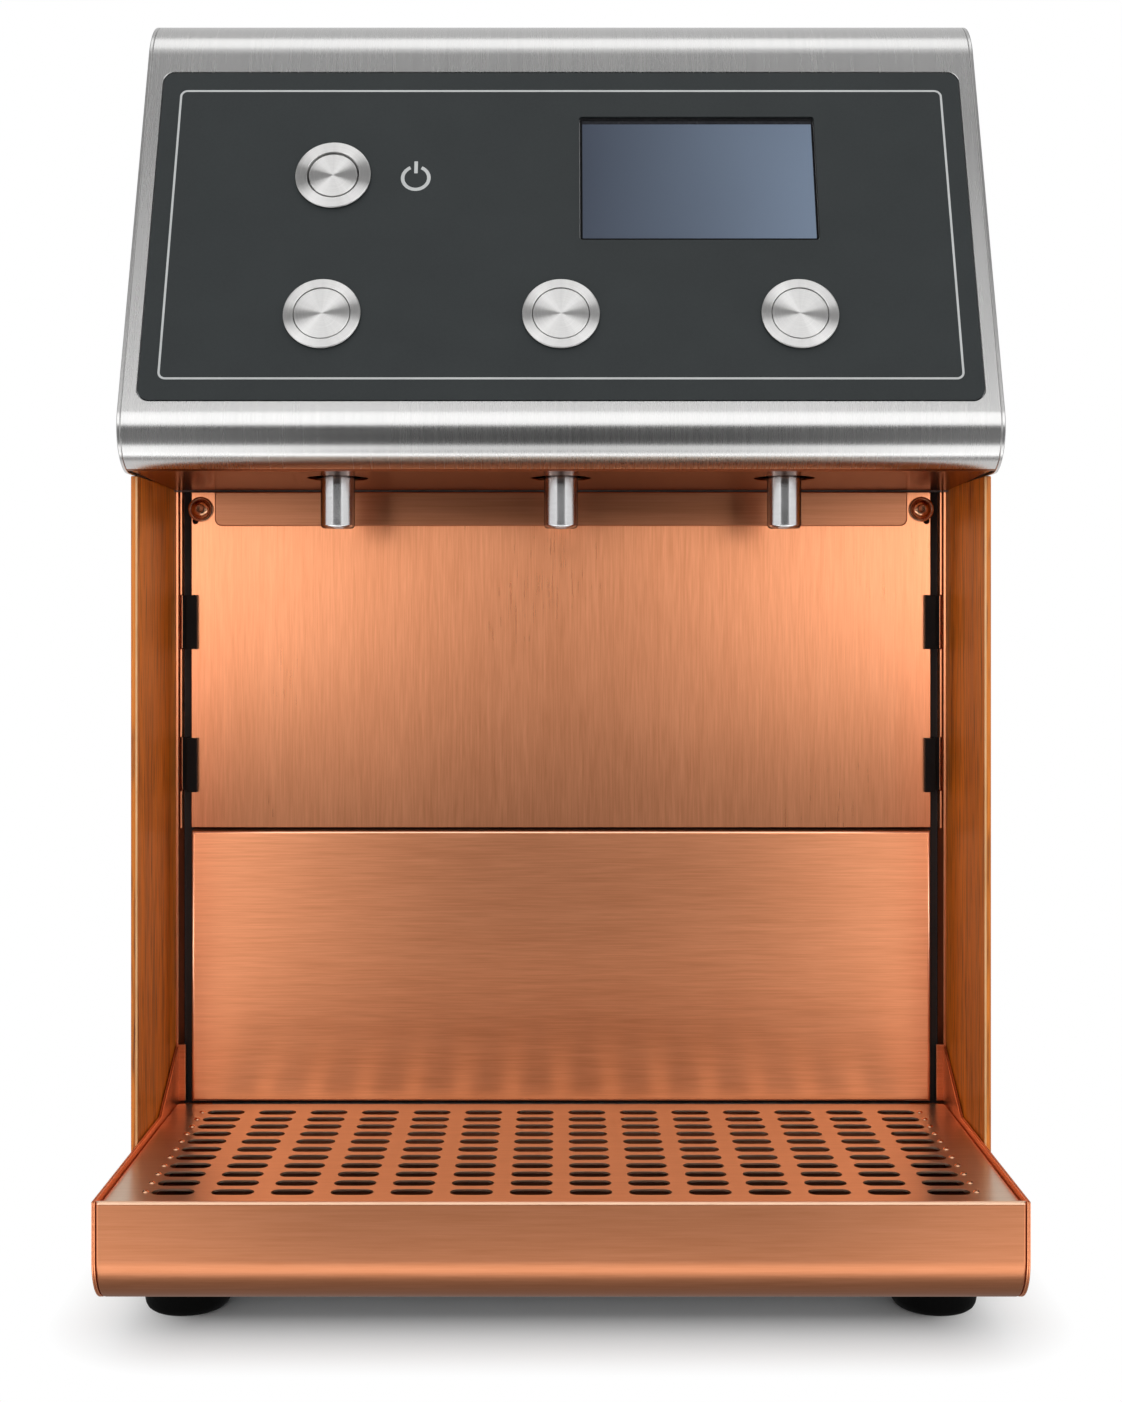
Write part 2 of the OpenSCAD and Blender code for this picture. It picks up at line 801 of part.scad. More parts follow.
// Square manifold block that feeds the three valves.
module manifold() {
    place() color(steel) difference() {
        translate([-manifold_size.x / 2, manifold_y, rail_z + steel_t])
            cube(manifold_size);
        translate([-manifold_size.x / 2 - overrun, manifold_y + manifold_size.y / 2, valve_port_z])
            rotate([0, 90, 0])
                cylinder(h = manifold_size.x + overrun - port_l, r = hose_bore_r);
        for (x = [-spout_pitch, 0, spout_pitch])
            translate([x, manifold_y - overrun, valve_port_z])
                rotate([-90, 0, 0])
                    cylinder(h = manifold_size.y / 2 + overrun, r = hose_bore_r);
        translate([heater_port_x, manifold_y + manifold_size.y / 2, valve_port_z])
            rotate([-90, 0, 0])
                cylinder(h = manifold_size.y / 2 + overrun, r = hose_bore_r);
    }
}

// FRAME AND CHEEKS

// Horizontal deck on the frames and posts; the head stands on it.
module head_deck() {
    place() color(steel) difference() {
        translate([-half_w, deck_y, deck_z])
            cube([overall_w, rear_y - steel_t - deck_y, deck_t]);
        translate([heater_port_x, heater_port_y, deck_z - overrun])
            cylinder(h = deck_t + 2 * overrun, r = 2 * hose_r);
    }
}

// Wooden cheek that covers a whole side below the head.
module side_panel(side) {
    place() color(walnut)
        across(side > 0 ? cheek_in : -half_w, cheek_t)
            polygon([
                [cheek_y, foot_h],
                [rear_y, foot_h],
                [rear_y, deck_z],
                [deck_y - seam_gap, deck_z],
                [deck_y - seam_gap, nose_bottom_z - seam_gap],
                [cheek_y, nose_bottom_z - seam_gap]
            ]);
}

// Upright channel that ends the bay's side, with notches for the clips.
module side_frame(side) {
    leg_h = deck_z - foot_h - deck_t;
    place() color(copper) scale([side, 1, 1]) difference() {
        translate([0, 0, foot_h + deck_t]) {
            translate([cheek_in - liner_t, frame_y, 0])
                cube([liner_t, frame_d, leg_h]);
            translate([rib_x - rib_t, frame_y, seam_z - foot_h - deck_t])
                cube([rib_t, frame_d, deck_z - seam_z]);
            translate([cheek_in - frame_flange, frame_y + frame_d - liner_t, 0])
                cube([frame_flange, liner_t, leg_h]);
        }
        for (z = [clip_low_z, clip_high_z])
            translate([rib_x - rib_t - overrun, frame_y - overrun, z - clip_h / 2])
                cube([rib_t + overrun + seam_gap, clip_notch_d + overrun, clip_h]);
    }
}

// Angle post at a rear corner.
module rear_post(side) {
    place() color(steel) difference() {
        scale([side, 1, 1])
            translate([cheek_in - post_w, rear_y - steel_t - post_w, foot_h + deck_t])
                linear_extrude(deck_z - foot_h - deck_t)
                    difference() {
                        square(post_w);
                        square(post_w - post_t);
                    }
        rear_screw_places()
            translate([0, 0, -rear_screw_l])
                cylinder(h = rear_screw_l, d = rear_screw_dia + 2 * play);
    }
}

// BACK WALL OF THE BAY

// Upper copper panel, taken out to reach the works behind it.
module service_panel() {
    place() color(copper)
        upright(wall_y + seam_gap, copper_t)
            difference() {
                translate([-panel_half, seam_z])
                    square([panel_w, soffit_rear_z - seam_gap - seam_z]);
                for (x = [-1, 1]) {
                    translate([x * screw_x, soffit_rear_z - screw_drop])
                        circle(d = screw_shank_dia + 2 * play);
                    translate([
                        x * (screw_x + notch_out),
                        soffit_rear_z - screw_drop - notch_down
                    ])
                        circle(d = notch_dia);
                }
            }
}

// Lower copper panel, folded back along its four edges.
module lower_panel() {
    low_z = grille_z + seam_gap;
    high_z = seam_z - seam_gap;
    place() color(copper) difference() {
        translate([-panel_half, wall_y, low_z])
            cube([panel_w, panel_lap, high_z - low_z]);
        translate([-panel_half + copper_t, wall_y + copper_t, low_z + copper_t])
            cube([
                panel_w - 2 * copper_t,
                panel_lap,
                high_z - low_z - 2 * copper_t
            ]);
    }
}

// Black plate behind both panels that carries them.
module bay_back() {
    back_half = rib_x - rib_t - seam_gap;
    back_low_z = foot_h + deck_t + pan_wall_h;
    place() color(black) difference() {
        translate([-back_half, wall_y + panel_lap, back_low_z])
            cube([2 * back_half, steel_t, deck_z - back_low_z]);
        panel_screw_places()
            translate([0, 0, -screw_l - overrun])
                cylinder(h = screw_l + overrun, d = screw_shank_dia + 2 * play);
    }
}

// Places the service panel's two screws, seen from the front.
module panel_screw_places() {
    for (x = [-screw_x, screw_x])
        translate([x, wall_y + seam_gap, soffit_rear_z - screw_drop])
            rotate([90, 0, 0])
                children();
}

// Two copper dome-head screws with a ring under the head.
module panel_screws() {
    dome_r = (pow(screw_dome_dia / 2, 2) + pow(screw_dome_h, 2)) / (2 * screw_dome_h);
    place() color(copper) panel_screw_places() {
        cylinder(h = screw_ring_h, d = screw_ring_dia);
        translate([0, 0, screw_ring_h])
            intersection() {
                cylinder(h = screw_dome_h + overrun, d = screw_dome_dia + overrun);
                translate([0, 0, screw_dome_h - dome_r])
                    sphere(dome_r);
            }
        translate([0, 0, -screw_l])
            cylinder(h = screw_l, d = screw_shank_dia);
    }
}

// Four black clips on the side frames that hold the service panel's edges.
module panel_clips() {
    tongue_y = wall_y + seam_gap - clip_play - clip_t;
    place() color(black)
        for (side = [-1, 1], z = [clip_low_z, clip_high_z])
            scale([side, 1, 1])
                translate([0, 0, z - clip_h / 2]) {
                    translate([panel_half - clip_reach, tongue_y, 0])
                        cube([rib_x - panel_half + clip_reach, clip_t, clip_h]);
                    translate([panel_half + seam_gap, tongue_y, 0])
                        cube([
                            rib_x - panel_half - seam_gap,
                            frame_y + clip_notch_d - tongue_y,
                            clip_h
                        ]);
                }
}

// BASE

// Base plate: a pan under the works and a tongue under the drip tray.
module base_plate() {
    pan_y = frame_y;
    pan_d = rear_y - steel_t - pan_y;
    place() color(steel) difference() {
        union() {
            translate([-cheek_in, pan_y, foot_h])
                cube([2 * cheek_in, pan_d, deck_t]);
            translate([-tongue_half, tongue_front_y, foot_h])
                cube([2 * tongue_half, pan_y - tongue_front_y, deck_t]);
            translate([-panel_half + panel_lap, wall_y + panel_lap, foot_h + deck_t])
                cube([panel_w - 2 * panel_lap, deck_t, pan_wall_h]);
        }
        foot_places()
            cylinder(h = foot_h + deck_t + overrun, d = foot_screw_dia + 2 * play);
    }
}

// Places the four feet on the floor.
module foot_places() {
    for (x = [-foot_x, foot_x], y = [foot_front_y, foot_rear_y])
        translate([x, y, 0])
            children();
}

// Four rubber feet with a rounded lower edge and a well for the screw.
module feet() {
    place() color(black) foot_places()
        difference() {
            rotate_extrude()
                union() {
                    square([foot_low_dia / 2 - foot_round, foot_h]);
                    translate([foot_low_dia / 2 - foot_round, foot_round])
                        circle(foot_round);
                    polygon([
                        [0, foot_round],
                        [foot_low_dia / 2, foot_round],
                        [foot_dia / 2, foot_h],
                        [0, foot_h]
                    ]);
                }
            translate([0, 0, -overrun])
                cylinder(h = foot_counterbore + overrun, d = foot_head_dia + 2 * seam_gap);
            cylinder(h = foot_h + overrun, d = foot_screw_dia + 2 * play);
        }
}

// Screws that hold the feet to the base plate.
module foot_screws() {
    place() color(steel) foot_places() {
        translate([0, 0, foot_counterbore - foot_head_h])
            cylinder(h = foot_head_h, d = foot_head_dia);
        translate([0, 0, foot_counterbore])
            cylinder(h = foot_h + deck_t - foot_counterbore, d = foot_screw_dia);
    }
}

// DRIP TRAY

// Side outline of the tray's wall: bullnose in front, guard fin at the rear.
module tray_side() {
    union() {
        translate([-tray_proud + tray_nose_r, foot_h + tray_nose_r])
            circle(tray_nose_r);
        polygon([
            [-tray_proud, foot_h + tray_nose_r],
            [-tray_proud, tray_rim_z],
            [fin_start_y, tray_rim_z],
            [fin_top_y, fin_top_z],
            [fin_rear_y, fin_end_z],
            [fin_rear_y, foot_h + deck_t + runner_play],
            [-tray_proud + tray_nose_r, foot_h],
            [-tray_proud + tray_nose_r, foot_h + tray_nose_r]
        ]);
    }
}

// Section of the tray's front: upright face, bullnose and a short lip under it.
module tray_front() {
    difference() {
        union() {
            translate([-tray_proud + tray_nose_r, foot_h + tray_nose_r])
                circle(tray_nose_r);
            translate([-tray_proud, foot_h + tray_nose_r])
                square([tray_nose_r, tray_rim_z - foot_h - tray_nose_r]);
        }
        translate([-tray_proud + tray_nose_r, foot_h + tray_nose_r])
            circle(tray_nose_r - tray_t);
        translate([-tray_proud + tray_t, foot_h + tray_nose_r])
            square([overall_d, overall_h]);
        translate([-tray_proud + tray_nose_r, 0])
            square([overall_d, overall_h]);
    }
}

// Copper drip tray: walls, floor, ledges for the grille, fins and runners.
module drip_tray() {
    inside = tray_half - tray_t;
    front_in = -tray_proud + tray_t;
    place() color(copper) {
        across(-tray_half, tray_t)
            tray_side();
        across(tray_half - tray_t, tray_t)
            tray_side();
        across(-inside, 2 * inside)
            tray_front();
        translate([-inside, floor_front_y, tray_floor_z])
            cube([2 * inside, tray_rear_y - floor_front_y, tray_t]);
        translate([-inside, tray_rear_y - tray_t, tray_floor_z])
            cube([2 * inside, tray_t, grille_z - grille_t - tray_floor_z]);
        translate([0, 0, grille_z - grille_t - ledge_t]) {
            translate([-inside, front_in, 0])
                cube([2 * inside, ledge_w, ledge_t]);
            for (x = [-inside, inside - ledge_w])
                translate([x, front_in, 0])
                    cube([ledge_w, tray_rear_y - front_in, ledge_t]);
        }
        for (side = [-1, 1])
            scale([side, 1, 1])
                translate([tray_half - fin_return, fin_rear_y - tray_t, grille_z])
                    cube([fin_return, tray_t, fin_end_z - grille_z]);
        for (x = [-runner_x, runner_x])
            translate([x - runner_w / 2, tongue_front_y, foot_h + deck_t + runner_play])
                cube([
                    runner_w,
                    tray_rear_y - tongue_front_y,
                    tray_floor_z - foot_h - deck_t - runner_play
                ]);
    }
}

// One slot with round ends.
module slot() {
    square([slot_l - slot_w, slot_w], center = true);
    for (x = [-1, 1])
        translate([x * (slot_l - slot_w) / 2, 0])
            circle(d = slot_w);
}

// Lift-off grille with rows of slots and a small pip at each row's ends.
module drip_grille() {
    row_half = (slot_columns - 1) / 2 * column_pitch;
    place() color(copper) {
        translate([0, 0, grille_z - grille_t])
            linear_extrude(grille_t)
                difference() {
                    translate([-grille_half, grille_front_y])
                        square([2 * grille_half, grille_rear_y - grille_front_y]);
                    for (row = [0 : slot_rows - 1], column = [0 : slot_columns - 1])
                        translate([
                            column * column_pitch - row_half,
                            first_row_y + row * row_pitch
                        ])
                            slot();
                }
        for (row = [0 : slot_rows - 1], side = [-1, 1])
            translate([
                side * (row_half + slot_l / 2 + pip_out),
                first_row_y + row * row_pitch,
                grille_z
            ])
                cylinder(h = pip_h, d1 = pip_dia, d2 = pip_dia - 2 * pip_h);
    }
}

// REAR

// Places the rear cover's screws on its face.
module rear_screw_places() {
    for (x = [-1, 1], z = [foot_h + deck_t + rear_screw_in, deck_z - rear_screw_in])
        translate([x * (cheek_in - post_w / 2), rear_y, z])
            rotate([-90, 0, 0])
                children();
}

// Rear cover with two fields of cooling slots and holes for both inlets.
module rear_cover() {
    place() color(steel) difference() {
        translate([-cheek_in, rear_y - steel_t, foot_h])
            cube([2 * cheek_in, steel_t, rear_top_z - foot_h]);
        for (side = [-1, 1], row = [0 : vent_rows - 1])
            translate([
                side * vent_x - vent_l / 2,
                rear_y - steel_t - overrun,
                vent_z + row * vent_pitch
            ])
                cube([vent_l, steel_t + 2 * overrun, vent_w]);
        translate([inlet_x, rear_y + overrun, inlet_z])
            rotate([90, 0, 0])
                cylinder(h = steel_t + 2 * overrun, r = inlet_r + play);
        translate([
            socket_x - socket_hole.x / 2,
            rear_y - steel_t - overrun,
            socket_z - socket_hole.y / 2
        ])
            cube([socket_hole.x, steel_t + 2 * overrun, socket_hole.y]);
        rear_screw_places()
            translate([0, 0, -steel_t - overrun])
                cylinder(h = steel_t + 2 * overrun, d = rear_screw_dia + 2 * play);
    }
}

// Flush screws of the rear cover.
module rear_screws() {
    place() color(steel) rear_screw_places()
        translate([0, 0, -rear_screw_l])
            cylinder(h = rear_screw_l, d = rear_screw_dia);
}

// Mains inlet: flange on the cover, hollow shroud and three contact pins.
module power_inlet() {
    place() color(black) translate([socket_x, rear_y, socket_z]) {
        difference() {
            union() {
                translate([-socket_size.x / 2, -steel_t - socket_flange_t, -socket_size.z / 2])
                    cube([socket_size.x, socket_flange_t, socket_size.z]);
                translate([-socket_hole.x / 2, -steel_t - socket_size.y, -socket_hole.y / 2])
                    cube([socket_hole.x, socket_size.y + steel_t, socket_hole.y]);
            }
            translate([
                -socket_hole.x / 2 + shroud_t,
                -steel_t - socket_size.y + shroud_t,
                -socket_hole.y / 2 + shroud_t
            ])
                cube([
                    socket_hole.x - 2 * shroud_t,
                    socket_size.y + steel_t,
                    socket_hole.y - 2 * shroud_t
                ]);
        }
        for (at = [[-pin_pitch, -pin_drop], [0, pin_drop], [pin_pitch, -pin_drop]])
            translate([
                at.x - pin_size.x / 2,
                -steel_t - socket_size.y + shroud_t,
                at.y - pin_size.z / 2
            ])
                cube([pin_size.x, socket_size.y - pin_size.y, pin_size.z]);
    }
}

// Bulkhead fitting with a push-in socket for the tube from the wine's barrel.
module wine_inlet() {
    place() color(steel) translate([inlet_x, rear_y, inlet_z])
        rotate([90, 0, 0])
            difference() {
                union() {
                    cylinder(h = inlet_l, r = inlet_r);
                    translate([0, 0, steel_t])
                        cylinder(h = inlet_hex_h, d = inlet_hex / cos(30), $fn = 6);
                    translate([0, 0, inlet_l])
                        cylinder(h = barb_l, r = barb_r);
                }
                translate([0, 0, -overrun])
                    cylinder(h = tube_socket_l + overrun, r = tube_socket_r);
                translate([0, 0, tube_socket_l - overrun])
                    cylinder(h = inlet_l + barb_l + 2 * overrun - tube_socket_l, r = barb_bore_r);
            }
}

// WORKS

// Pump: flat-sided head with two ports and a round motor behind it.
module pump() {
    place() color("dimgray") translate([pump_x, pump_y, foot_h + deck_t]) {
        translate([-pump_size.x / 2, -pump_size.y / 2, 0])
            cube(pump_size);
        translate([0, -pump_size.y / 2, pump_size.z / 2])
            rotate([90, 0, 0])
                cylinder(h = motor_l, r = motor_r);
        translate([pump_port_x - pump_x, -pump_port_back, pump_size.z])
            cylinder(h = port_l, r = port_r);
    }
}

// Stainless flow heater: closed drum with flanged ends, standing in its saddle.
module heater() {
    place() color("lightgray") translate([heater_x, heater_y, heater_z]) {
        cylinder(h = heater_rim_h, r = heater_rim_r);
        translate([0, 0, heater_rim_h])
            cylinder(h = heater_h - 2 * heater_rim_h, r = heater_r);
        translate([0, 0, heater_h - heater_rim_h])
            cylinder(h = heater_rim_h, r = heater_rim_r);
        translate([heater_r / 2, heater_r / 2, heater_h])
            cylinder(h = port_l, r = port_r);
        translate([0, 0, heater_port_up])
            rotate([0, 90, 0])
                cylinder(h = heater_r + port_l, r = port_r);
    }
}

// Saddle that stands the heater on the base plate.
module heater_saddle() {
    saddle_h = heater_z - foot_h - deck_t;
    place() color(steel) translate([heater_x, heater_y, foot_h + deck_t]) {
        translate([-saddle_w / 2, -saddle_w / 2, saddle_h - saddle_t])
            cube([saddle_w, saddle_w, saddle_t]);
        for (y = [-saddle_w / 2, saddle_w / 2 - saddle_t])
            translate([-saddle_w / 2, y, 0])
                cube([saddle_w, saddle_t, saddle_h - saddle_t]);
    }
}

// Temperature probe screwed into the heater's top.
module temperature_probe() {
    place() color("gold")
        translate([heater_x - heater_r / 2, heater_y, heater_z + heater_h]) {
            cylinder(h = probe_head_h, r = probe_head_r);
            translate([0, 0, probe_head_h])
                cylinder(h = probe_l - probe_head_h, r = probe_r);
        }
}

// Enclosed power supply on the base plate.
module power_supply() {
    place() color("silver")
        translate([supply_x - supply_size.x / 2, supply_y - supply_size.y / 2, foot_h + deck_t])
            cube(supply_size);
}

// Hose from the wine inlet to the pump.
module inlet_hose() {
    start_y = rear_y - inlet_l;
    place() color(black) translate([inlet_x, start_y, inlet_z])
        rotate([90, 0, 0])
            hose([[start_y - pump_y - pump_size.y / 2, 0, 0]]);
}

// Hose from the pump's top port over to the heater's lower port.
module pump_hose() {
    rise = heater_z + heater_port_up - bend_r - pump_port_z;
    run = pump_port_x - bend_r - heater_x - heater_r - port_l;
    place() color(black)
        translate([pump_port_x, heater_y, pump_port_z])
            hose([[rise, 180, 90], [run, 0, 0]]);
}

// Hose from the heater's top port up through the deck to the manifold.
module heater_hose() {
    start_z = heater_z + heater_h + port_l;
    run = heater_port_y - bend_r - manifold_y - manifold_size.y;
    place() color(black)
        translate([heater_port_x, heater_port_y, start_z])
            hose([[valve_port_z - start_z - bend_r, -90, 90], [run, 0, 0]]);
}

hood();
head_side(-1);  // head_side_left
head_side(1);  // head_side_right
top_cover();
top_cover_screws();
fascia();
fascia_backplate();
display_window();
display_module();
control_board();
board_standoffs();
switch_housing(-power_x, power_v, power_cap_dia);  // power_button_housing
switch_housing(-button_pitch, button_v, cap_dia);  // button_housing_left
switch_housing(0, button_v, cap_dia);  // button_housing_centre
switch_housing(button_pitch, button_v, cap_dia);  // button_housing_right
button_nuts();
switch_cap(-power_x, power_v, power_cap_dia, power_cap_sink);  // power_button_cap
switch_cap(-button_pitch, button_v, cap_dia, cap_sink);  // button_cap_left
switch_cap(0, button_v, cap_dia, cap_sink);  // button_cap_centre
switch_cap(button_pitch, button_v, cap_dia, cap_sink);  // button_cap_right
soffit();
spout_bar();
spout(-spout_pitch);  // spout_left
spout(0);  // spout_centre
spout(spout_pitch);  // spout_right
outlet_hoses();
valve_rail();
valve(-spout_pitch);  // valve_left
valve(0);  // valve_centre
valve(spout_pitch);  // valve_right
manifold();
head_deck();
side_panel(-1);  // side_panel_left
side_panel(1);  // side_panel_right
side_frame(-1);  // side_frame_left
side_frame(1);  // side_frame_right
rear_post(-1);  // rear_post_left
rear_post(1);  // rear_post_right
service_panel();
lower_panel();
bay_back();
panel_screws();
panel_clips();
base_plate();
feet();
foot_screws();
drip_tray();
drip_grille();
rear_cover();
rear_screws();
power_inlet();
wine_inlet();
pump();
heater();
heater_saddle();
temperature_probe();
power_supply();
inlet_hose();
pump_hose();
heater_hose();
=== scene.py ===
"""Mulled wine dispenser: its looks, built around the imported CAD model."""
import math

import bmesh
import bpy
from mathutils import Matrix, Vector


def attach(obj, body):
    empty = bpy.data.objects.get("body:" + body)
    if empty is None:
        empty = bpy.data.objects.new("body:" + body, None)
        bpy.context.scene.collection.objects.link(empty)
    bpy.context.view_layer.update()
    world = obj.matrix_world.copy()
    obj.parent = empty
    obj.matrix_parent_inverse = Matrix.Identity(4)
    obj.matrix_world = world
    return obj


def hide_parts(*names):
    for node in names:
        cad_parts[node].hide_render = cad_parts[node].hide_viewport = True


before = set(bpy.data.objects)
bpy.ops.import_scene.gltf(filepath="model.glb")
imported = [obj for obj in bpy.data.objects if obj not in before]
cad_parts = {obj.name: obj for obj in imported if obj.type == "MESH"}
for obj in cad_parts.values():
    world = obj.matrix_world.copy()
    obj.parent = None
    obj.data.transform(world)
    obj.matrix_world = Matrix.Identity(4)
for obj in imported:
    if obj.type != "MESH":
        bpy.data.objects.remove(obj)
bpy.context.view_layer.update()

# FEET
# Four moulded rubber feet, wider at the top, with a rounded lower edge and a well for the screw.
# They are screwed to the base plate from below.
mm = 0.001
foot_x = 151.2
foot_ys = (-150.0, 175.0)
foot_profile = [
    (0, 8.0), (5.3, 8.0), (5.3, 0.4), (5.7, 0), (14.2, 0), (15.4, 0.3), (16.3, 1.0),
    (16.9, 2.1), (17.2, 3.4), (17.8, 9.0), (18.0, 14.0), (18.0, 20.7), (0, 20.7),
]


def turned(profile, steps=64):
    """Spins a profile of (radius, height) points in millimetres about the z axis."""
    bm = bmesh.new()
    verts = [bm.verts.new((r * mm, 0, z * mm)) for r, z in profile]
    edges = [bm.edges.new(pair) for pair in zip(verts, verts[1:])]
    bmesh.ops.spin(
        bm, geom=verts + edges, cent=(0, 0, 0), axis=(0, 0, 1), dvec=(0, 0, 0),
        angle=math.tau, steps=steps, use_merge=True, use_duplicate=False,
    )
    bmesh.ops.remove_doubles(bm, verts=bm.verts, dist=1e-6)
    bmesh.ops.recalc_face_normals(bm, faces=bm.faces)
    return bm


def placed(bm, matrix):
    """The same bmesh, moved and turned by a matrix."""
    bmesh.ops.transform(bm, matrix=matrix, space=Matrix.Identity(4), verts=bm.verts)
    return bm


def moved(bm, x, y, z):
    """The same bmesh, moved by millimetres."""
    return placed(bm, Matrix.Translation(Vector((x, y, z)) * mm))


def together(*parts):
    """One bmesh from several."""
    whole = bmesh.new()
    for bm in parts:
        mesh = bpy.data.meshes.new("part")
        bm.to_mesh(mesh)
        bm.free()
        whole.from_mesh(mesh)
        bpy.data.meshes.remove(mesh)
    return whole


def piece(bm, name, material, body, slot, *nodes, edge=0.0, segments=3, smooth=38):
    """Makes a bmesh a named piece on its body, with softened edges and even shading."""
    mesh = bpy.data.meshes.new(name)
    bm.to_mesh(mesh)
    bm.free()
    mesh.shade_smooth()
    mesh.set_sharp_from_angle(angle=math.radians(smooth))
    mesh.materials.append(material)
    obj = bpy.data.objects.new(name, mesh)
    bpy.context.scene.collection.objects.link(obj)
    if edge:
        bevel = obj.modifiers.new("broken_edges", "BEVEL")
        bevel.width = edge * mm
        bevel.segments = segments
        bevel.limit_method = "ANGLE"
        bevel.angle_limit = math.radians(smooth)
    shading = obj.modifiers.new("even_shading", "WEIGHTED_NORMAL")
    shading.keep_sharp = True
    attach(obj, body)
    if nodes:
        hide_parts(*nodes)
    return obj


def new_finish(name):
    """A new material with its shader and the object's own coordinates."""
    mat = bpy.data.materials.new(name)
    mat.use_nodes = True
    tree = mat.node_tree
    coords = tree.nodes.new("ShaderNodeTexCoord").outputs["Object"]
    return mat, tree, tree.nodes["Principled BSDF"], coords


def noise(tree, coords, cells, detail=3.0, rough=0.55):
    """Noise with that many cells per metre along x, y and z."""
    scale = tree.nodes.new("ShaderNodeMapping")
    scale.inputs["Scale"].default_value = cells
    tree.links.new(coords, scale.inputs["Vector"])
    node = tree.nodes.new("ShaderNodeTexNoise")
    node.inputs["Scale"].default_value = 1
    node.inputs["Detail"].default_value = detail
    node.inputs["Roughness"].default_value = rough
    tree.links.new(scale.outputs["Vector"], node.inputs["Vector"])
    return node.outputs["Fac"]


def spread(tree, value, low, high, bottom=0.3, top=0.7):
    """Maps a value between bottom and top to the range from low to high."""
    node = tree.nodes.new("ShaderNodeMapRange")
    for socket, number in zip(
        ("From Min", "From Max", "To Min", "To Max"), (bottom, top, low, high)
    ):
        node.inputs[socket].default_value = number
    tree.links.new(value, node.inputs["Value"])
    return node.outputs["Result"]


def sum_of(tree, first, second):
    """Two values added."""
    node = tree.nodes.new("ShaderNodeMath")
    node.operation = "ADD"
    tree.links.new(first, node.inputs[0])
    tree.links.new(second, node.inputs[1])
    return node.outputs[0]


def tint(tree, value, dark, light):
    """A colour between two tones, each a colour or an output, by a value from 0 to 1."""
    node = tree.nodes.new("ShaderNodeMix")
    node.data_type = "RGBA"
    for socket in node.inputs:
        if socket.type == "RGBA":
            tone = dark if socket.name == "A" else light
            if isinstance(tone, tuple):
                socket.default_value = (*tone, 1)
            else:
                tree.links.new(tone, socket)
    tree.links.new(value, node.inputs[0])
    return next(s for s in node.outputs if s.type == "RGBA")


def relief(tree, shader, height, depth):
    """Bump of that depth in metres on the shader's normal."""
    node = tree.nodes.new("ShaderNodeBump")
    node.inputs["Distance"].default_value = depth
    tree.links.new(height, node.inputs["Height"])
    tree.links.new(node.outputs["Normal"], shader.inputs["Normal"])


def moulded(name, dark, light, rough, depth, specular=0.5):
    """Rubber, plastic or paint with a fine grain of that depth."""
    mat, tree, shader, coords = new_finish(name)
    shader.inputs["Specular IOR Level"].default_value = specular
    grain = noise(tree, coords, (900, 900, 900), 4)
    broad = noise(tree, coords, (40, 40, 40), 2)
    colour = tint(tree, spread(tree, broad, 0, 1), dark, light)
    tree.links.new(colour, shader.inputs["Base Color"])
    tree.links.new(spread(tree, grain, rough - 0.06, rough + 0.08), shader.inputs["Roughness"])
    relief(tree, shader, grain, depth)
    return mat


rubber = moulded(
    "foot_rubber", (0.001, 0.001, 0.001), (0.003, 0.003, 0.003), 0.6, 0.00002, 0.08
)
feet = [moved(turned(foot_profile), x, y, 0) for x in (-foot_x, foot_x) for y in foot_ys]
piece(together(*feet), "rubber_feet", rubber, "body", "foot_rubber", "feet")

# BASE AND FRAMES
# A steel base plate on the feet carries two copper-coloured side channels, two rear posts and,
# on top of them, the deck of the head. All are cut and folded sheet, screwed together.


def copy_of(node):
    """A copy of a CAD node's mesh with its triangles merged into whole faces."""
    bm = bmesh.new()
    bm.from_mesh(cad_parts[node].data)
    bmesh.ops.remove_doubles(bm, verts=bm.verts, dist=2e-6)
    bmesh.ops.dissolve_limit(
        bm, angle_limit=math.radians(0.5), verts=bm.verts, edges=bm.edges,
    )
    return bm


def dress(material, *nodes):
    """Gives CAD nodes that keep their own shape a finish."""
    for node in nodes:
        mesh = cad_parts[node].data
        mesh.materials.clear()
        mesh.materials.append(material)


def brushed(name, dark, light, cells, rough, depth, along=None, stretch=0.8, turn=0.25):
    """Brushed metal; cells are noise cells per metre, few of them along the brushing.

    The gloss is drawn out across the axis along, or along it when turn is 0."""
    mat, tree, shader, coords = new_finish(name)
    fine = noise(tree, coords, cells, 2, 0.7)
    broad = noise(tree, coords, tuple(n / 4 for n in cells), 2)
    patch = noise(tree, coords, (9, 9, 9), 2)
    lines = sum_of(tree, spread(tree, fine, 0, 0.7), spread(tree, broad, 0, 0.3))
    tree.links.new(tint(tree, lines, dark, light), shader.inputs["Base Color"])
    shader.inputs["Metallic"].default_value = 1
    roughness = sum_of(
        tree, spread(tree, fine, rough - 0.012, rough + 0.012), spread(tree, patch, -0.01, 0.01)
    )
    tree.links.new(roughness, shader.inputs["Roughness"])
    if along:
        shader.inputs["Anisotropic"].default_value = stretch
        shader.inputs["Anisotropic Rotation"].default_value = turn
        grooves = tree.nodes.new("ShaderNodeCombineXYZ")
        for socket, part in zip(grooves.inputs, along):
            socket.default_value = part
        tree.links.new(grooves.outputs[0], shader.inputs["Tangent"])
    relief(tree, shader, lines, depth)
    return mat


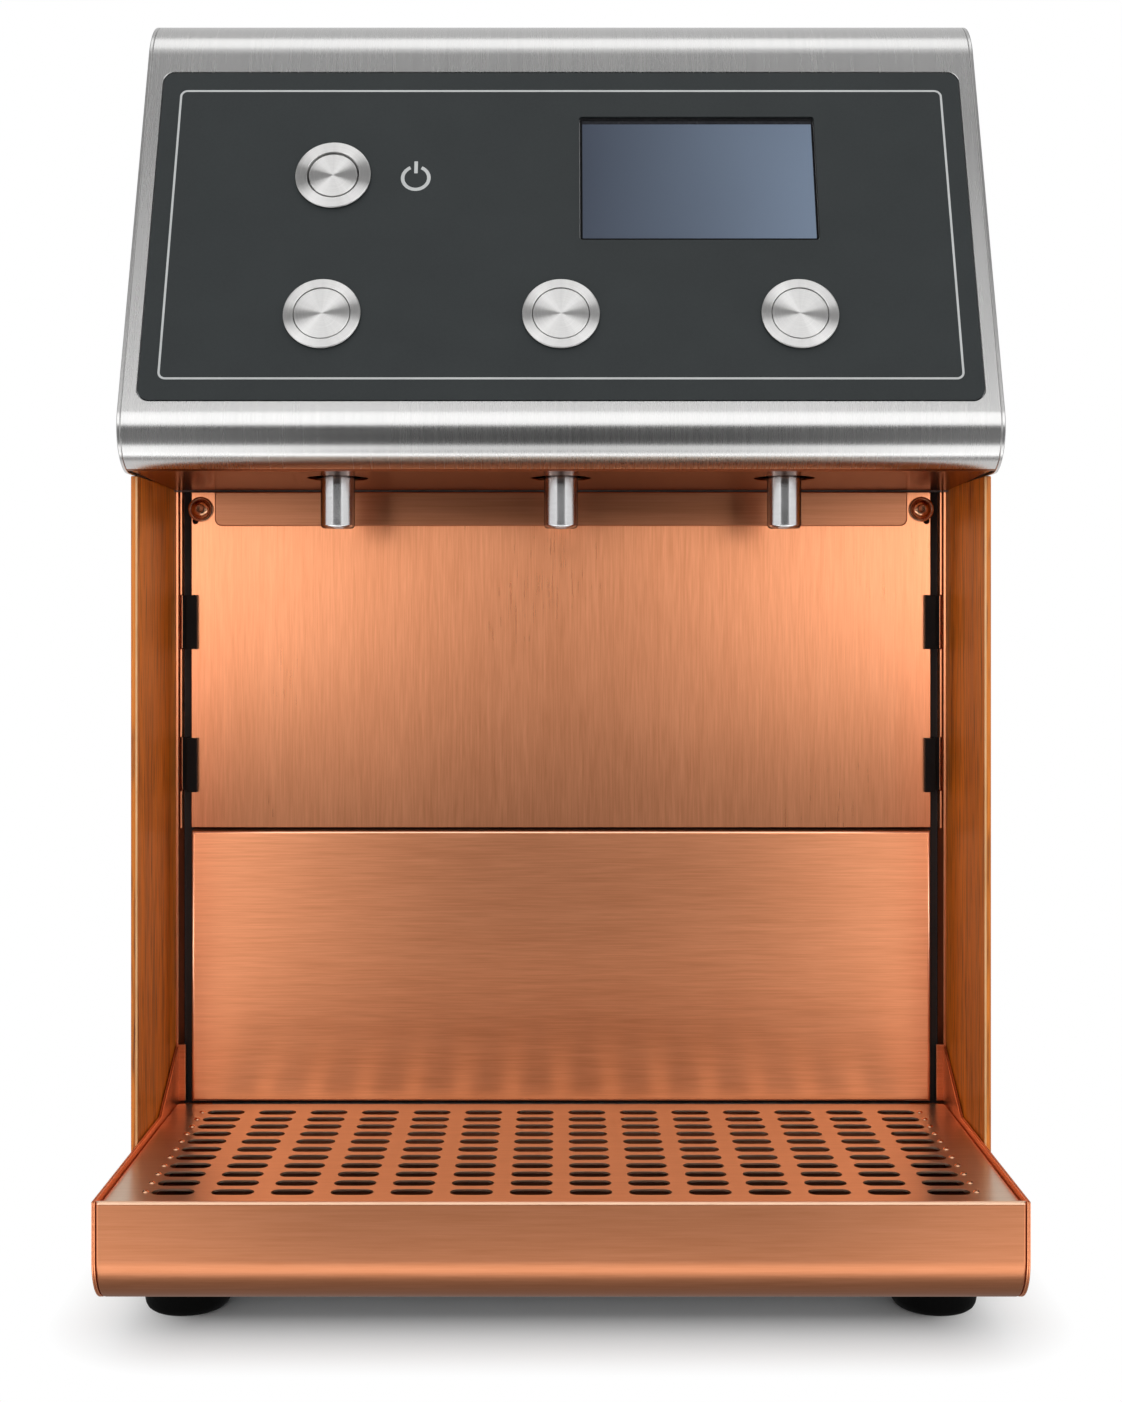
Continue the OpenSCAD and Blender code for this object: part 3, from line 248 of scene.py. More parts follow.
inner_steel = brushed(
    "inner_steel", (0.42, 0.43, 0.44), (0.52, 0.53, 0.54), (60, 500, 500), 0.4, 0.00002
)
screw_steel = brushed(
    "screw_steel", (0.4, 0.4, 0.41), (0.5, 0.5, 0.51), (700, 700, 700), 0.35, 0.00001
)
dress(inner_steel, "base_plate", "rear_post_left", "rear_post_right", "head_deck")
dress(screw_steel, "foot_screws")

copper_tones = (0.71, 0.27, 0.125), (0.85, 0.345, 0.175)
copper_upright = brushed(
    "copper_upright", *copper_tones, (1300, 1300, 50), 0.29, 0.0000022, (0, 0, 1), 0.5
)
copper_across = brushed(
    "copper_across", *copper_tones, (40, 1300, 1300), 0.34, 0.0000025, (1, 0, 0), 0.6
)
for side in ("left", "right"):
    node = "side_frame_" + side
    piece(
        copy_of(node), node + "_channel", copper_upright, "body", "copper_finish", node,
        edge=0.25,
    )

# CHEEKS
# Two veneered boards with straight reddish-brown grain, lacquered, the rounded inner arris of their
# front edges coloured pale as a painted highlight. They are fixed to the frames from inside.
cheek_outline = [
    (-138.3, 20.7), (215.0, 20.7), (215.0, 334.9), (-65.1, 334.9), (-65.1, 336.6),
    (-138.3, 336.6),
]
cheek_in, half_w = 174.8, 177.5
arris_r = 0.75


def rounded(bm, geom, radius, segments, affect="EDGES", material=-1):
    """Rounds edges, or the corners of a flat face, to a radius in millimetres."""
    bmesh.ops.bevel(
        bm, geom=geom, offset=radius * mm, offset_type="OFFSET", affect=affect,
        segments=segments, profile=0.5, material=material,
    )


def thickened(bm, push):
    """Gives flat faces a depth, along a vector in metres."""
    grown = bmesh.ops.extrude_face_region(bm, geom=list(bm.faces))["geom"]
    fresh = [v for v in grown if isinstance(v, bmesh.types.BMVert)]
    bmesh.ops.translate(bm, verts=fresh, vec=push)
    bmesh.ops.recalc_face_normals(bm, faces=bm.faces)
    return bm


def prism(outline, start, depth, across="x", rounds=()):
    """A sheet cut to an outline, in millimetres, of that depth along the axis across.

    rounds holds (corner, radius, segments) of the corners that are made round."""
    point = {
        "x": lambda a, b: (start, a, b),
        "y": lambda a, b: (a, start, b),
        "z": lambda a, b: (a, b, start),
    }[across]
    push = Vector([depth * mm * (axis == across) for axis in "xyz"])
    bm = bmesh.new()
    corners = [bm.verts.new(Vector(point(a, b)) * mm) for a, b in outline]
    bm.faces.new(corners)
    for corner, radius, segments in rounds:
        rounded(bm, [corners[corner]], radius, segments, "VERTICES")
    return thickened(bm, push)


def walnut_finish():
    """Lacquered veneer: upright bands of colour, brown pores and veins, and a clear coat."""
    mat, tree, shader, coords = new_finish("walnut_veneer")
    bands = noise(tree, coords, (70, 45, 2.2), 3, 0.6)
    streaks = noise(tree, coords, (420, 330, 7), 3, 0.6)
    pores = noise(tree, coords, (1000, 560, 40), 2, 0.5)
    veins = noise(tree, coords, (260, 190, 10), 3, 0.6)
    light = sum_of(tree, spread(tree, bands, 0, 0.55), spread(tree, streaks, 0, 0.45))
    base = tint(tree, light, (0.40, 0.098, 0.006), (0.80, 0.245, 0.018))
    brown = sum_of(
        tree, spread(tree, pores, 0, 0.55, 0.5, 0.66), spread(tree, veins, 0, 0.45, 0.54, 0.64)
    )
    grained = tint(tree, brown, base, (0.13, 0.032, 0.004))
    tree.links.new(grained, shader.inputs["Base Color"])
    tree.links.new(spread(tree, streaks, 0.34, 0.46), shader.inputs["Roughness"])
    shader.inputs["Specular IOR Level"].default_value = 0.25
    shader.inputs["Coat Weight"].default_value = 0.08
    shader.inputs["Coat Roughness"].default_value = 0.15
    relief(tree, shader, spread(tree, pores, 1, 0, 0.55, 0.75), 0.00005)
    return mat


def cheek(start, inner):
    """A board whose front inner arris gets the second material, a painted highlight."""
    bm = prism(cheek_outline, start, half_w - cheek_in)
    behind_arris = (cheek_outline[0][0] + 0.3) * mm
    arris = [
        e for e in bm.edges
        if all(abs(v.co.x - inner * mm) < 1e-6 and v.co.y < behind_arris for v in e.verts)
    ]
    rounded(bm, arris, arris_r, 3, material=1)
    return bm


walnut = walnut_finish()
# The pale colour of the arris is a painted highlight on the rounded edge.
arris_painted_highlight = moulded(
    "walnut_arris_painted_highlight", (0.62, 0.33, 0.13), (0.80, 0.47, 0.22), 0.35, 0.00002
)
for side, start, inner in (("left", -half_w, -cheek_in), ("right", cheek_in, cheek_in)):
    board = piece(
        cheek(start, inner), "cheek_" + side, walnut, "body", "walnut", "side_panel_" + side,
        edge=0.4, segments=3,
    )
    board.data.materials.append(arris_painted_highlight)

# BACK WALL OF THE BAY
# A plate coloured near black, painted shade for the gaps round it, carries two copper-coloured
# sheets: the lower one brushed across and folded back all round, its folds lighter as a painted
# highlight, the upper one flat, brushed upright, with two keyholes.
wall_y = -66.3
panel_half, panel_t = 166.9, 1.2
low_z, high_z = 59.3, 334.5
seam_z = 182.2
under_seam, over_seam = 0.5, 1
fold_depth, fold_r = 8, 1.5
upper_out = 0.3
screw_x, screw_z, screw_hole_r = 162.6, 326.8, 2.2
notch_x, notch_z, notch_r = 165.1, 321.6, 1.4
# The near-black colour is painted shade, seen through the gaps round the sheets.
black_steel = moulded(
    "black_steel", (0.008, 0.008, 0.008), (0.016, 0.016, 0.017), 0.5, 0.00003
)
dress(black_steel, "bay_back")


def block(low, high):
    """A box between two corners, in millimetres."""
    bm = bmesh.new()
    bmesh.ops.create_cube(bm, size=mm)
    bmesh.ops.scale(bm, vec=[b - a for a, b in zip(low, high)], verts=bm.verts)
    return moved(bm, *[(a + b) / 2 for a, b in zip(low, high)])


def folded_panel():
    """The lower panel: an open box of sheet, its rounded folds in the second material, a painted
    highlight.
    """
    bm = block(
        (-panel_half, wall_y, low_z), (panel_half, wall_y + fold_depth, seam_z - under_seam)
    )
    back = [f for f in bm.faces if f.normal.y > 0.9]
    bmesh.ops.delete(bm, geom=back, context="FACES")
    front = next(f for f in bm.faces if f.normal.y < -0.9)
    rounded(bm, list(front.edges), fold_r, 5)
    # Faces of the front folds take the painted highlight.
    for face in bm.faces:
        face.material_index = int(-0.95 < face.normal.y < -0.25)
    bmesh.ops.solidify(bm, geom=list(bm.faces), thickness=panel_t * mm)
    return bm


lower_panel = piece(
    folded_panel(), "lower_panel_folded", copper_across, "body", "copper_finish",
    "lower_panel", smooth=50,
)
# A lighter copy of the copper: painted highlight for the panel's folds and the tray's crest.
painted_highlight_copper = brushed(
    "copper_fold_painted_highlight", (0.88, 0.54, 0.36), (0.96, 0.62, 0.43), (40, 1300, 1300), 0.3,
    0.000003, (1, 0, 0), 0.3,
)
lower_panel.data.materials.append(painted_highlight_copper)


def ring(segments, radius, stretch=0.0):
    """The edge of a round hole, or of a slot when it is stretched along x."""
    bm = bmesh.new()
    bmesh.ops.create_circle(bm, cap_ends=False, segments=segments, radius=radius * mm)
    for v in bm.verts:
        v.co.x += math.copysign(stretch / 2 * mm, v.co.x) if abs(v.co.x) > 1e-9 else 0
    return bm


def frame_edge(w, h, r, segments=8):
    """The edge of a rectangle with round corners, centred on the origin."""
    bm = bmesh.new()
    bmesh.ops.create_grid(bm, x_segments=1, y_segments=1, size=0.5 * mm)
    bmesh.ops.scale(bm, vec=(w, h, 1), verts=bm.verts)
    if r:
        rounded(bm, list(bm.verts), r, segments, "VERTICES")
    bmesh.ops.delete(bm, geom=list(bm.faces), context="FACES_ONLY")
    return bm


def filled(bm):
    """Fills closed edges with faces and leaves the holes within them open."""
    bmesh.ops.triangle_fill(bm, use_beauty=True, use_dissolve=False, edges=list(bm.edges))


def plate(thickness, *edges):
    """A flat plate from its outer edge and the edges of its holes, its top face at z = 0."""
    bm = together(*edges)
    filled(bm)
    return thickened(bm, (0, 0, -thickness * mm))


def facing_front(y):
    """Turns a plate that lies flat so that its top looks to the front, at depth y."""
    return Matrix.Translation((0, y * mm, 0)) @ Matrix.Rotation(math.radians(90), 4, "X")


upper_low = seam_z + over_seam
upper = plate(
    panel_t,
    moved(frame_edge(2 * panel_half, high_z - upper_low, 0), 0, (high_z + upper_low) / 2, 0),
    *[moved(ring(24, screw_hole_r), x, screw_z, 0) for x in (-screw_x, screw_x)],
    *[moved(ring(20, notch_r), x, notch_z, 0) for x in (-notch_x, notch_x)],
)
piece(
    placed(upper, facing_front(wall_y + upper_out)), "service_panel_sheet", copper_upright,
    "body", "copper_finish", "service_panel", edge=0.2,
)

# SCREWS AND CLIPS OF THE SERVICE PANEL
# Two copper-coloured button screws with a loose ring under the head, and four black moulded
# clips snapped into the side channels that hold the panel's edges.
screw_profile = [
    (0, -11), (2, -11), (2, 0), (5.35, 0), (5.65, 0.2), (5.65, 0.55), (5.45, 0.8),
    (4.9, 0.88), (4.5, 0.8), (4.3, 0.55), (4.15, 0.9), (3.9, 1.5), (3.3, 2.2),
    (2.6, 2.75), (1.75, 3.1), (1.55, 3.05), (1.45, 2.2), (0, 2.0),
]
copper_turned = brushed(
    "copper_turned", (0.66, 0.34, 0.2), (0.78, 0.42, 0.25), (300, 300, 300), 0.17, 0.000004
)
screws = [
    placed(
        turned(screw_profile, 48),
        Matrix.Translation(Vector((x, wall_y + upper_out, screw_z)) * mm)
        @ Matrix.Rotation(math.radians(90), 4, "X"),
    )
    for x in (-screw_x, screw_x)
]
piece(
    together(*screws), "panel_button_screws", copper_turned, "body", "copper_finish",
    "panel_screws", smooth=50,
)
black_plastic = moulded(
    "black_plastic", (0.003, 0.003, 0.003), (0.007, 0.007, 0.007), 0.38, 0.00003, 0.2
)
clip_zs = (211.4, 275.9)
clip_xs, clip_w, clip_ys, clip_half = (-168.7, 164.0), 4.7, (-68.2, -59.0), 12.2
tail_xs, tail_w, tail_ys, tail_half = (-172.4, 168.6), 3.8, (-59.2, -58.9), 12.1
clips = [
    block((x, clip_ys[0], z - clip_half), (x + clip_w, clip_ys[1], z + clip_half))
    for x in clip_xs
    for z in clip_zs
]
tails = [
    block((x, tail_ys[0], z - tail_half), (x + tail_w, tail_ys[1], z + tail_half))
    for x in tail_xs
    for z in clip_zs
]
piece(
    together(*clips, *tails), "panel_side_clips", black_plastic, "body", "black_plastic",
    "panel_clips", edge=0.5, segments=4,
)

# DRIP TRAY
# Folded and welded copper-coloured sheet: double side walls with a guard fin at the rear, a front
# with a crest that rolls under in a bullnose, the front coloured darker than the walls as painted
# shade and its crest lighter as a painted highlight, a near-black basin as painted shade under the
# grille, and ledges for the grille, on runners.
tray_half, tray_t, tray_low = 174.4, 1.4, 20.7
front_y, roll_end_y, rim_z, bull_r = -215.0, -195.0, 61.6, 19.0
tray_back_y = -66.9
floor_z, runner_z = 30.2, 23.0
fin_ys, fin_zs = (-62.3, -65.3, -100.5), (84.6, 83.0)
wall_outline = [
    (front_y, rim_z), (front_y, tray_low), (roll_end_y, tray_low), (fin_ys[0], runner_z),
    (fin_ys[0], fin_zs[0]), (fin_ys[1], fin_zs[1]), (fin_ys[2], rim_z),
]
front_section = [
    (front_y + tray_t, rim_z), (front_y, rim_z), (front_y, tray_low), (roll_end_y, tray_low),
    (roll_end_y, tray_low + tray_t), (front_y + tray_t, tray_low + tray_t),
]
wall_gap, front_gap = 0.04, 0.06
rim_r, crest_r, end_r = 0.6, 1.35, 1.15
layer = tray_t / 2 - wall_gap
walls = []
for start in (-tray_half, -tray_half + tray_t - layer, tray_half - layer, tray_half - tray_t):
    walls.append(prism(wall_outline, start, layer, rounds=[(0, rim_r, 4), (1, bull_r, 22)]))
inside = tray_half - tray_t
front = prism(
    front_section, -inside + front_gap, 2 * (inside - front_gap),
    rounds=[(1, crest_r, 7), (2, bull_r, 26), (5, bull_r - tray_t, 26)],
)


def on_outer_skin(vert):
    """Whether a point of the front lies on its outer side."""
    _, y, z = vert.co / mm
    reach = math.hypot(y - front_y - bull_r, z - tray_low - bull_r)
    return y < front_y + 0.3 or reach > bull_r - 0.3


ends = [
    e for e in front.edges
    if abs(e.verts[0].co.x - e.verts[1].co.x) < 1e-6
    and any(
        abs(f.normal.x) < 0.5 and f.normal.y < 0.1 and f.normal.z < 0.9 for f in e.link_faces
    )
    and all(on_outer_skin(v) for v in e.verts)
]
rounded(front, ends, end_r, 4)
piece(
    together(*walls), "drip_tray_walls", copper_across, "tray", "copper_finish",
    "drip_tray", edge=0.25,
)
# A darker copy of the copper: painted shade on the tray's front.
tray_front_painted_shade = brushed(
    "copper_tray_front_painted_shade", (0.43, 0.163, 0.075), (0.50, 0.2, 0.1), (40, 1300, 1300), 0.3,
    0.0000025, (1, 0, 0), 0.6,
)
# Faces of the crest take the painted highlight.
painted_highlight_z = (rim_z - 1.5) * mm
for face in front.faces:
    face.material_index = int(face.calc_center_median().z > painted_highlight_z and face.normal.z > 0.12)
tray_front = piece(front, "drip_tray_front", tray_front_painted_shade, "tray", "copper_finish", smooth=50)
tray_front.data.materials.append(painted_highlight_copper)
return_w, return_zs = 4.4, (59.0, 84.4)
ledge_y, ledge_w, ledge_zs = front_y + tray_t, 6, (56.6, 58.15)
returns = [
    block((x, fin_ys[0] - tray_t, return_zs[0]), (x + return_w, fin_ys[0], return_zs[1]))
    for x in (-tray_half, tray_half - return_w)
]
ledges = [
    block((-inside, ledge_y, ledge_zs[0]), (inside, ledge_y + ledge_w, ledge_zs[1])),
    block((-inside, ledge_y, ledge_zs[0]), (-inside + ledge_w, tray_back_y, ledge_zs[1])),
    block((inside - ledge_w, ledge_y, ledge_zs[0]), (inside, tray_back_y, ledge_zs[1])),
    block((-inside, tray_back_y - tray_t, floor_z), (inside, tray_back_y, ledge_zs[1])),
]
piece(
    together(*returns, *ledges), "drip_tray_folds", copper_across, "tray",
    "copper_finish", edge=0.25,
)
# Near-black copper: painted shade for the basin seen through the grille's slots.
basin_painted_shade = brushed(
    "copper_basin_painted_shade", (0.03, 0.013, 0.008), (0.05, 0.022, 0.013), (22, 700, 700), 0.5, 0.00003
)
basin_front_y = -211.7
runner_x, runner_half, runner_front_y = 120, 6, -185.5
basin = [
    block((-inside, basin_front_y, floor_z), (inside, tray_back_y, floor_z + tray_t)),
    *[
        block((x - runner_half, runner_front_y, runner_z), (x + runner_half, tray_back_y, floor_z))
        for x in (-runner_x, runner_x)
    ],
]
piece(together(*basin), "drip_tray_basin", basin_painted_shade, "tray", "copper_finish", edge=0.3)

# GRILLE
# A lift-off plate with rows of punched slots, their rims pressed a little round, and a small
# pip at both ends of every row. It lies on the tray's ledges.
grille_z, grille_t, grille_half, grille_corner = 59.0, 0.8, 172.4, 1.5
grille_ys = (-213.0, -68.9)
columns, rows = 14, 11
column_pitch, row_pitch = 22.8, 11.2
first_x, first_y = -148.2, -194.9
slot_r, slot_straight = 3.6, 9.2
slots = [
    moved(
        ring(20, slot_r, slot_straight), first_x + i * column_pitch, first_y + j * row_pitch, 0
    )
    for i in range(columns)
    for j in range(rows)
]
grille_edge = moved(
    frame_edge(2 * grille_half, grille_ys[1] - grille_ys[0], grille_corner),
    0, sum(grille_ys) / 2, 0,
)
# A paler, less saturated copy of the copper: painted light.
grille_painted_light = brushed(
    "copper_grille_painted_light", (0.62, 0.44, 0.31), (0.72, 0.53, 0.39), (22, 1300, 1300), 0.3,
    0.000008, (1, 0, 0), 0.6,
)
piece(
    moved(plate(grille_t, grille_edge, *slots), 0, 0, grille_z), "drip_grille_plate",
    grille_painted_light, "grille", "copper_finish", "drip_grille", edge=0.35, segments=3,
)
pip_profile = [(1.3, 0), (1.2, 0.3), (0.9, 0.55), (0.5, 0.68), (0, 0.7)]
pip_x = 158.7
pips = [
    moved(turned(pip_profile, 16), x, first_y + j * row_pitch, grille_z)
    for x in (-pip_x, pip_x)
    for j in range(rows)
]
piece(together(*pips), "drip_grille_pips", copper_turned, "grille", "copper_finish")

# SOFFIT
# The head's underside, a copper-coloured sheet that falls a little to the rear, with round
# openings for the spouts and a flange turned down over the service panel's upper edge. Sheet and
# flange are coloured darker than the other copper, as painted shade.
soffit_front_y, soffit_front_z = -150.3, 337.7
soffit_tilt = math.radians(1.671)
soffit_w, soffit_l, soffit_t = 349.0, 84.05, 1.2
spout_pitch, spout_y, spout_hole_r = 94.2, -120.5, 12.85
spout_xs = {"left": -spout_pitch, "centre": 0, "right": spout_pitch}
soffit = plate(
    soffit_t,
    moved(frame_edge(soffit_w, soffit_l, 0), 0, soffit_l / 2, 0),
    *[
        moved(ring(64, spout_hole_r), x, spout_y - soffit_front_y, 0)
        for x in spout_xs.values()
    ],
)
placed(
    moved(soffit, 0, 0, soffit_t),
    Matrix.Translation(Vector((0, soffit_front_y, soffit_front_z)) * mm)
    @ Matrix.Rotation(-soffit_tilt, 4, "X"),
)
flange_half, flange_low, flange_corner = 156.2, 319.2, 3.2
flange_outline = [
    (-flange_half, high_z), (-flange_half, flange_low), (flange_half, flange_low),
    (flange_half, high_z),
]
flange = prism(
    flange_outline, wall_y - soffit_t, soffit_t, "y",
    rounds=[(1, flange_corner, 6), (2, flange_corner, 6)],
)
# A darker copy of the copper: painted shade under the head.
soffit_copper_painted_shade = brushed(
    "soffit_copper_painted_shade", (0.33, 0.126, 0.055), (0.40, 0.155, 0.071), (22, 700, 700), 0.24,
    0.000002, (1, 0, 0), 0.4,
)
# A darker copy of the copper: painted shade on the flange under the soffit.
flange_copper_painted_shade = brushed(
    "flange_copper_painted_shade", (0.46, 0.18, 0.087), (0.55, 0.225, 0.117), (22, 1300, 1300), 0.33,
    0.000004, (1, 0, 0), 0.6,
)
piece(soffit, "soffit_sheet", soffit_copper_painted_shade, "body", "copper_finish", "soffit", edge=0.15)
piece(
    flange, "soffit_flange", flange_copper_painted_shade, "body", "copper_finish", edge=0.55, segments=4
)

# SPOUTS
# Three polished stainless tubes with a broken lower rim, clamped in a bar above the soffit by
# a collar, with a barb for the hose.
spout_profile = [
    (5.0, 343.0), (5.0, 317.0), (5.3, 316.2), (5.7, 315.8), (6.2, 315.8), (6.75, 316.2),
    (7.1, 316.9), (7.15, 317.1), (7.15, 347.0), (10.0, 347.0), (10.0, 350.0), (3.1, 350.0),
    (3.1, 358.0), (2.0, 358.0), (2.0, 343.0), (5.0, 343.0),
]


def polished_finish(name, tone, rough):
    """Polished steel, darker at a slant, with faint turning lines and wipe marks."""
    mat, tree, shader, coords = new_finish(name)
    lines = noise(tree, coords, (120, 120, 2600), 2)
    marks = noise(tree, coords, (60, 60, 60), 3)
    dark = tuple(c * 0.93 for c in tone)
    tree.links.new(
        tint(tree, spread(tree, lines, 0, 1), dark, tone), shader.inputs["Base Color"]
    )
    shader.inputs["Metallic"].default_value = 1
    shader.inputs["Specular Tint"].default_value = (0, 0, 0, 1)
    tree.links.new(spread(tree, marks, rough, rough + 0.06), shader.inputs["Roughness"])
    relief(tree, shader, lines, 0.000004)
    return mat


polished_steel = polished_finish("polished_steel", (0.68, 0.68, 0.69), 0.17)
for side, x in spout_xs.items():
    piece(
        moved(turned(spout_profile, 72), x, spout_y, 0), "spout_tube_" + side,
        polished_steel, "body", "polished_steel", "spout_" + side, smooth=50,
    )

# HOOD
# One folded stainless sheet, brushed downwards: a bullnose whose lip is coloured dark copper, as
# painted shade with a painted reflection of the copper below, the sloping face with its opening
# for the fascia, a rounded upper edge and the front of the top.
lean = math.radians(19.8)
nose_c, nose_r = (-145.6, 354.8), 17.9
top_c, top_r, top_z = (-78.630, 511.0), 28.0, 539.0
face_foot, face_l = (-162.442, 360.864), 169.652
lip_turn = math.radians(93.54)
hood_half, hood_t, hood_rear_y = 176.0, 1.5, -13.5
fascia_w, fascia_h, fascia_up = 340.0, 155.5, 4.8
fascia_corner, fascia_play = 5.0, 0.4
face_matrix = Matrix.Translation(Vector((0, *face_foot)) * mm) @ Matrix.Rotation(
    math.radians(90) - lean, 4, "X"
)


def on_face(x, v, out=0.0):
    """A place on the sloping face: across, up from the fascia's foot, and outwards."""
    return face_matrix @ Matrix.Translation(Vector((x, fascia_up + v, out)) * mm)


def swept(bm, verts, centre, turn, steps):
    """Spins edges or a point about a line across the head, and gives the last ones."""
    return bmesh.ops.spin(
        bm, geom=verts, cent=Vector((0, *centre)) * mm, axis=(1, 0, 0), dvec=(0, 0, 0),
        angle=turn, steps=steps, use_merge=False, use_duplicate=False,
    )["geom_last"]


def hood_sheet():
    """The hood's sheet, cut out for the fascia; its lip has the second material, painted shade and
    a painted copper reflection.
    """
    bm = bmesh.new()
    lip = math.pi - lean + lip_turn
    lip_y = nose_c[0] + nose_r * math.cos(lip)
    lip_z = nose_c[1] + nose_r * math.sin(lip)
    start = [bm.verts.new(Vector((x, lip_y, lip_z)) * mm) for x in (-hood_half, hood_half)]
    swept(bm, [*start, bm.edges.new(start)], nose_c, -lip_turn, 26)
    bend_y = top_c[0] - top_r * math.cos(lean)
    bend_z = top_c[1] + top_r * math.sin(lean)
    upper = [bm.verts.new(Vector((x, bend_y, bend_z)) * mm) for x in (-hood_half, hood_half)]
    last = swept(bm, [*upper, bm.edges.new(upper)], top_c, lean - math.radians(90), 30)
    edge = [e for e in last if isinstance(e, bmesh.types.BMEdge)]
    flat = bmesh.ops.extrude_edge_only(bm, edges=edge)["geom"]
    for v in (v for v in flat if isinstance(v, bmesh.types.BMVert)):
        v.co.y = hood_rear_y * mm
    opening = placed(
        frame_edge(
            fascia_w + 2 * fascia_play, fascia_h + 2 * fascia_play, fascia_corner + fascia_play
        ),
        on_face(0, fascia_h / 2),
    )
    outer = placed(
        moved(frame_edge(2 * hood_half, face_l, 0), 0, face_l / 2, 0), face_matrix
    )
    slope = together(opening, outer)
    filled(slope)
    bm = together(bm, slope)
    bmesh.ops.remove_doubles(bm, verts=bm.verts, dist=0.02 * mm)
    bmesh.ops.recalc_face_normals(bm, faces=bm.faces)
    top = next(f for f in bm.faces if f.calc_center_median().z > (top_z - 0.1) * mm)
    if top.normal.z < 0:
        bmesh.ops.reverse_faces(bm, faces=bm.faces)
    # Faces under the nose take the painted shade and copper reflection.
    for face in bm.faces:
        under_nose = face.calc_center_median().y < (nose_c[0] + 5.6) * mm
        face.material_index = int(face.normal.z < -0.91 and under_nose)
    bmesh.ops.solidify(bm, geom=list(bm.faces), thickness=hood_t * mm)
    return bm


steel_down = brushed(
    "stainless_down", (0.55, 0.548, 0.545), (0.60, 0.597, 0.592), (1100, 16, 16), 0.27,
    0.0000004, (1, 0, 0), 0.6, 0,
)
hood = piece(
    hood_sheet(), "hood_folded_sheet", steel_down, "body", "stainless", "hood", edge=0.3,
    segments=2,
)
lip_painted_shade_reflection = brushed(
    "lip_painted_shade_reflection", (0.17, 0.066, 0.03), (0.20, 0.08, 0.037), (40, 1300, 1300), 0.28, 0.0000008
)
hood.data.materials.append(lip_painted_shade_reflection)

# END PLATES AND TOP
# Two stainless end plates with the head's side outline close the hood and run to the rear. The
# top cover behind the hood is held by four flush screws.
rear_y, plate_low_z = 215.0, 336.9
lip_w, lip_ys, lip_zs = 22, (-13.2, 213.5), (536.0, 537.4)


def end_plate(x):
    """The side outline of the whole head, with its nose and upper edge rounded."""
    bm = bmesh.new()
    first = bm.verts.new(Vector((x, nose_c[0], nose_c[1] - nose_r)) * mm)
    swept(bm, [first], nose_c, -(math.radians(90) + lean), 28)
    upper = Vector((x, top_c[0] - top_r * math.cos(lean), top_c[1] + top_r * math.sin(lean)))
    second = bm.verts.new(upper * mm)
    swept(bm, [second], top_c, lean - math.radians(90), 30)
    rear = [bm.verts.new(Vector((x, rear_y, z)) * mm) for z in (top_z, plate_low_z)]
    loose = [v for v in bm.verts if len(v.link_edges) < 2]
    nose_end = min(loose, key=lambda v: v.co.y)
    top_end = next(v for v in loose if abs(v.co.z - top_z * mm) < 1e-5 and v.co.y < 0)
    for pair in ((nose_end, second), (top_end, rear[0]), rear, (rear[1], first)):
        bm.edges.new(pair)
    bmesh.ops.contextual_create(bm, geom=list(bm.edges))
    return thickened(bm, (hood_t * mm, 0, 0))


steel_tones = (0.53, 0.528, 0.525), (0.62, 0.617, 0.612)
steel_level = brushed(
    "stainless_level", *steel_tones, (1100, 16, 1100), 0.3, 0.000005, (0, 1, 0), 0.6
)
for side, x, lip_x in (
    ("left", -half_w, -hood_half), ("right", half_w - hood_t, hood_half - lip_w)
):
    lid_lip = block((lip_x, lip_ys[0], lip_zs[0]), (lip_x + lip_w, lip_ys[1], lip_zs[1]))
    piece(
        together(end_plate(x), lid_lip), "end_plate_" + side, steel_level, "body",
        "stainless", "head_side_" + side, edge=0.3, segments=2,
    )
piece(
    copy_of("top_cover"), "top_cover_sheet", steel_down, "body", "stainless",
    "top_cover", edge=0.3,
)
dress(screw_steel, "top_cover_screws")

# FASCIA
# A slate-grey coated plate let into the hood, with openings for four switches and the display.
# A thin light line round it and the on/off sign beside the small button are printed on.
fascia_t, switch_hole_r = 1.6, 14.0
button_pitch, button_v = 97.4, 38.5
power_x, power_v = -95.5, 103.9
window_x, window_v, window_w, window_h = 57.5, 103.45, 99.0, 59.3
window_corner, window_play = 1.2, 0.6
switches = {
    "left": (-button_pitch, button_v), "centre": (0, button_v),
    "right": (button_pitch, button_v), "power": (power_x, power_v),
}
slate = moulded(
    "slate_coating", (0.020, 0.025, 0.0265), (0.023, 0.0285, 0.030), 0.55, 0.00001, 0.3
)
window_edge = frame_edge(window_w + window_play, window_h + window_play, window_corner, 4)
fascia = plate(
    fascia_t,
    moved(frame_edge(fascia_w, fascia_h, fascia_corner), 0, fascia_h / 2, 0),
    *[moved(ring(48, switch_hole_r), *at, 0) for at in switches.values()],
    moved(window_edge, window_x, window_v, 0),
)
piece(
    placed(fascia, on_face(0, 0)), "fascia_plate", slate, "body", "fascia_grey",
    "fascia", edge=0.25,
)
print_white = moulded(
    "printed_white", (0.47, 0.485, 0.485), (0.53, 0.545, 0.545), 0.45, 0.00001
)
print_t = 0.03
line_half, line_low, line_high, line_w, line_corner = 162.5, 9.2, 146.7, 0.9, 3.2
line_h = line_high - line_low
outline = plate(
    print_t,
    frame_edge(2 * line_half, line_h, line_corner),
    frame_edge(2 * (line_half - line_w), line_h - 2 * line_w, line_corner - line_w),
)
piece(
    placed(moved(outline, 0, 0, print_t), on_face(0, (line_low + line_high) / 2)),
    "printed_line", print_white, "body", "fascia_grey",
)
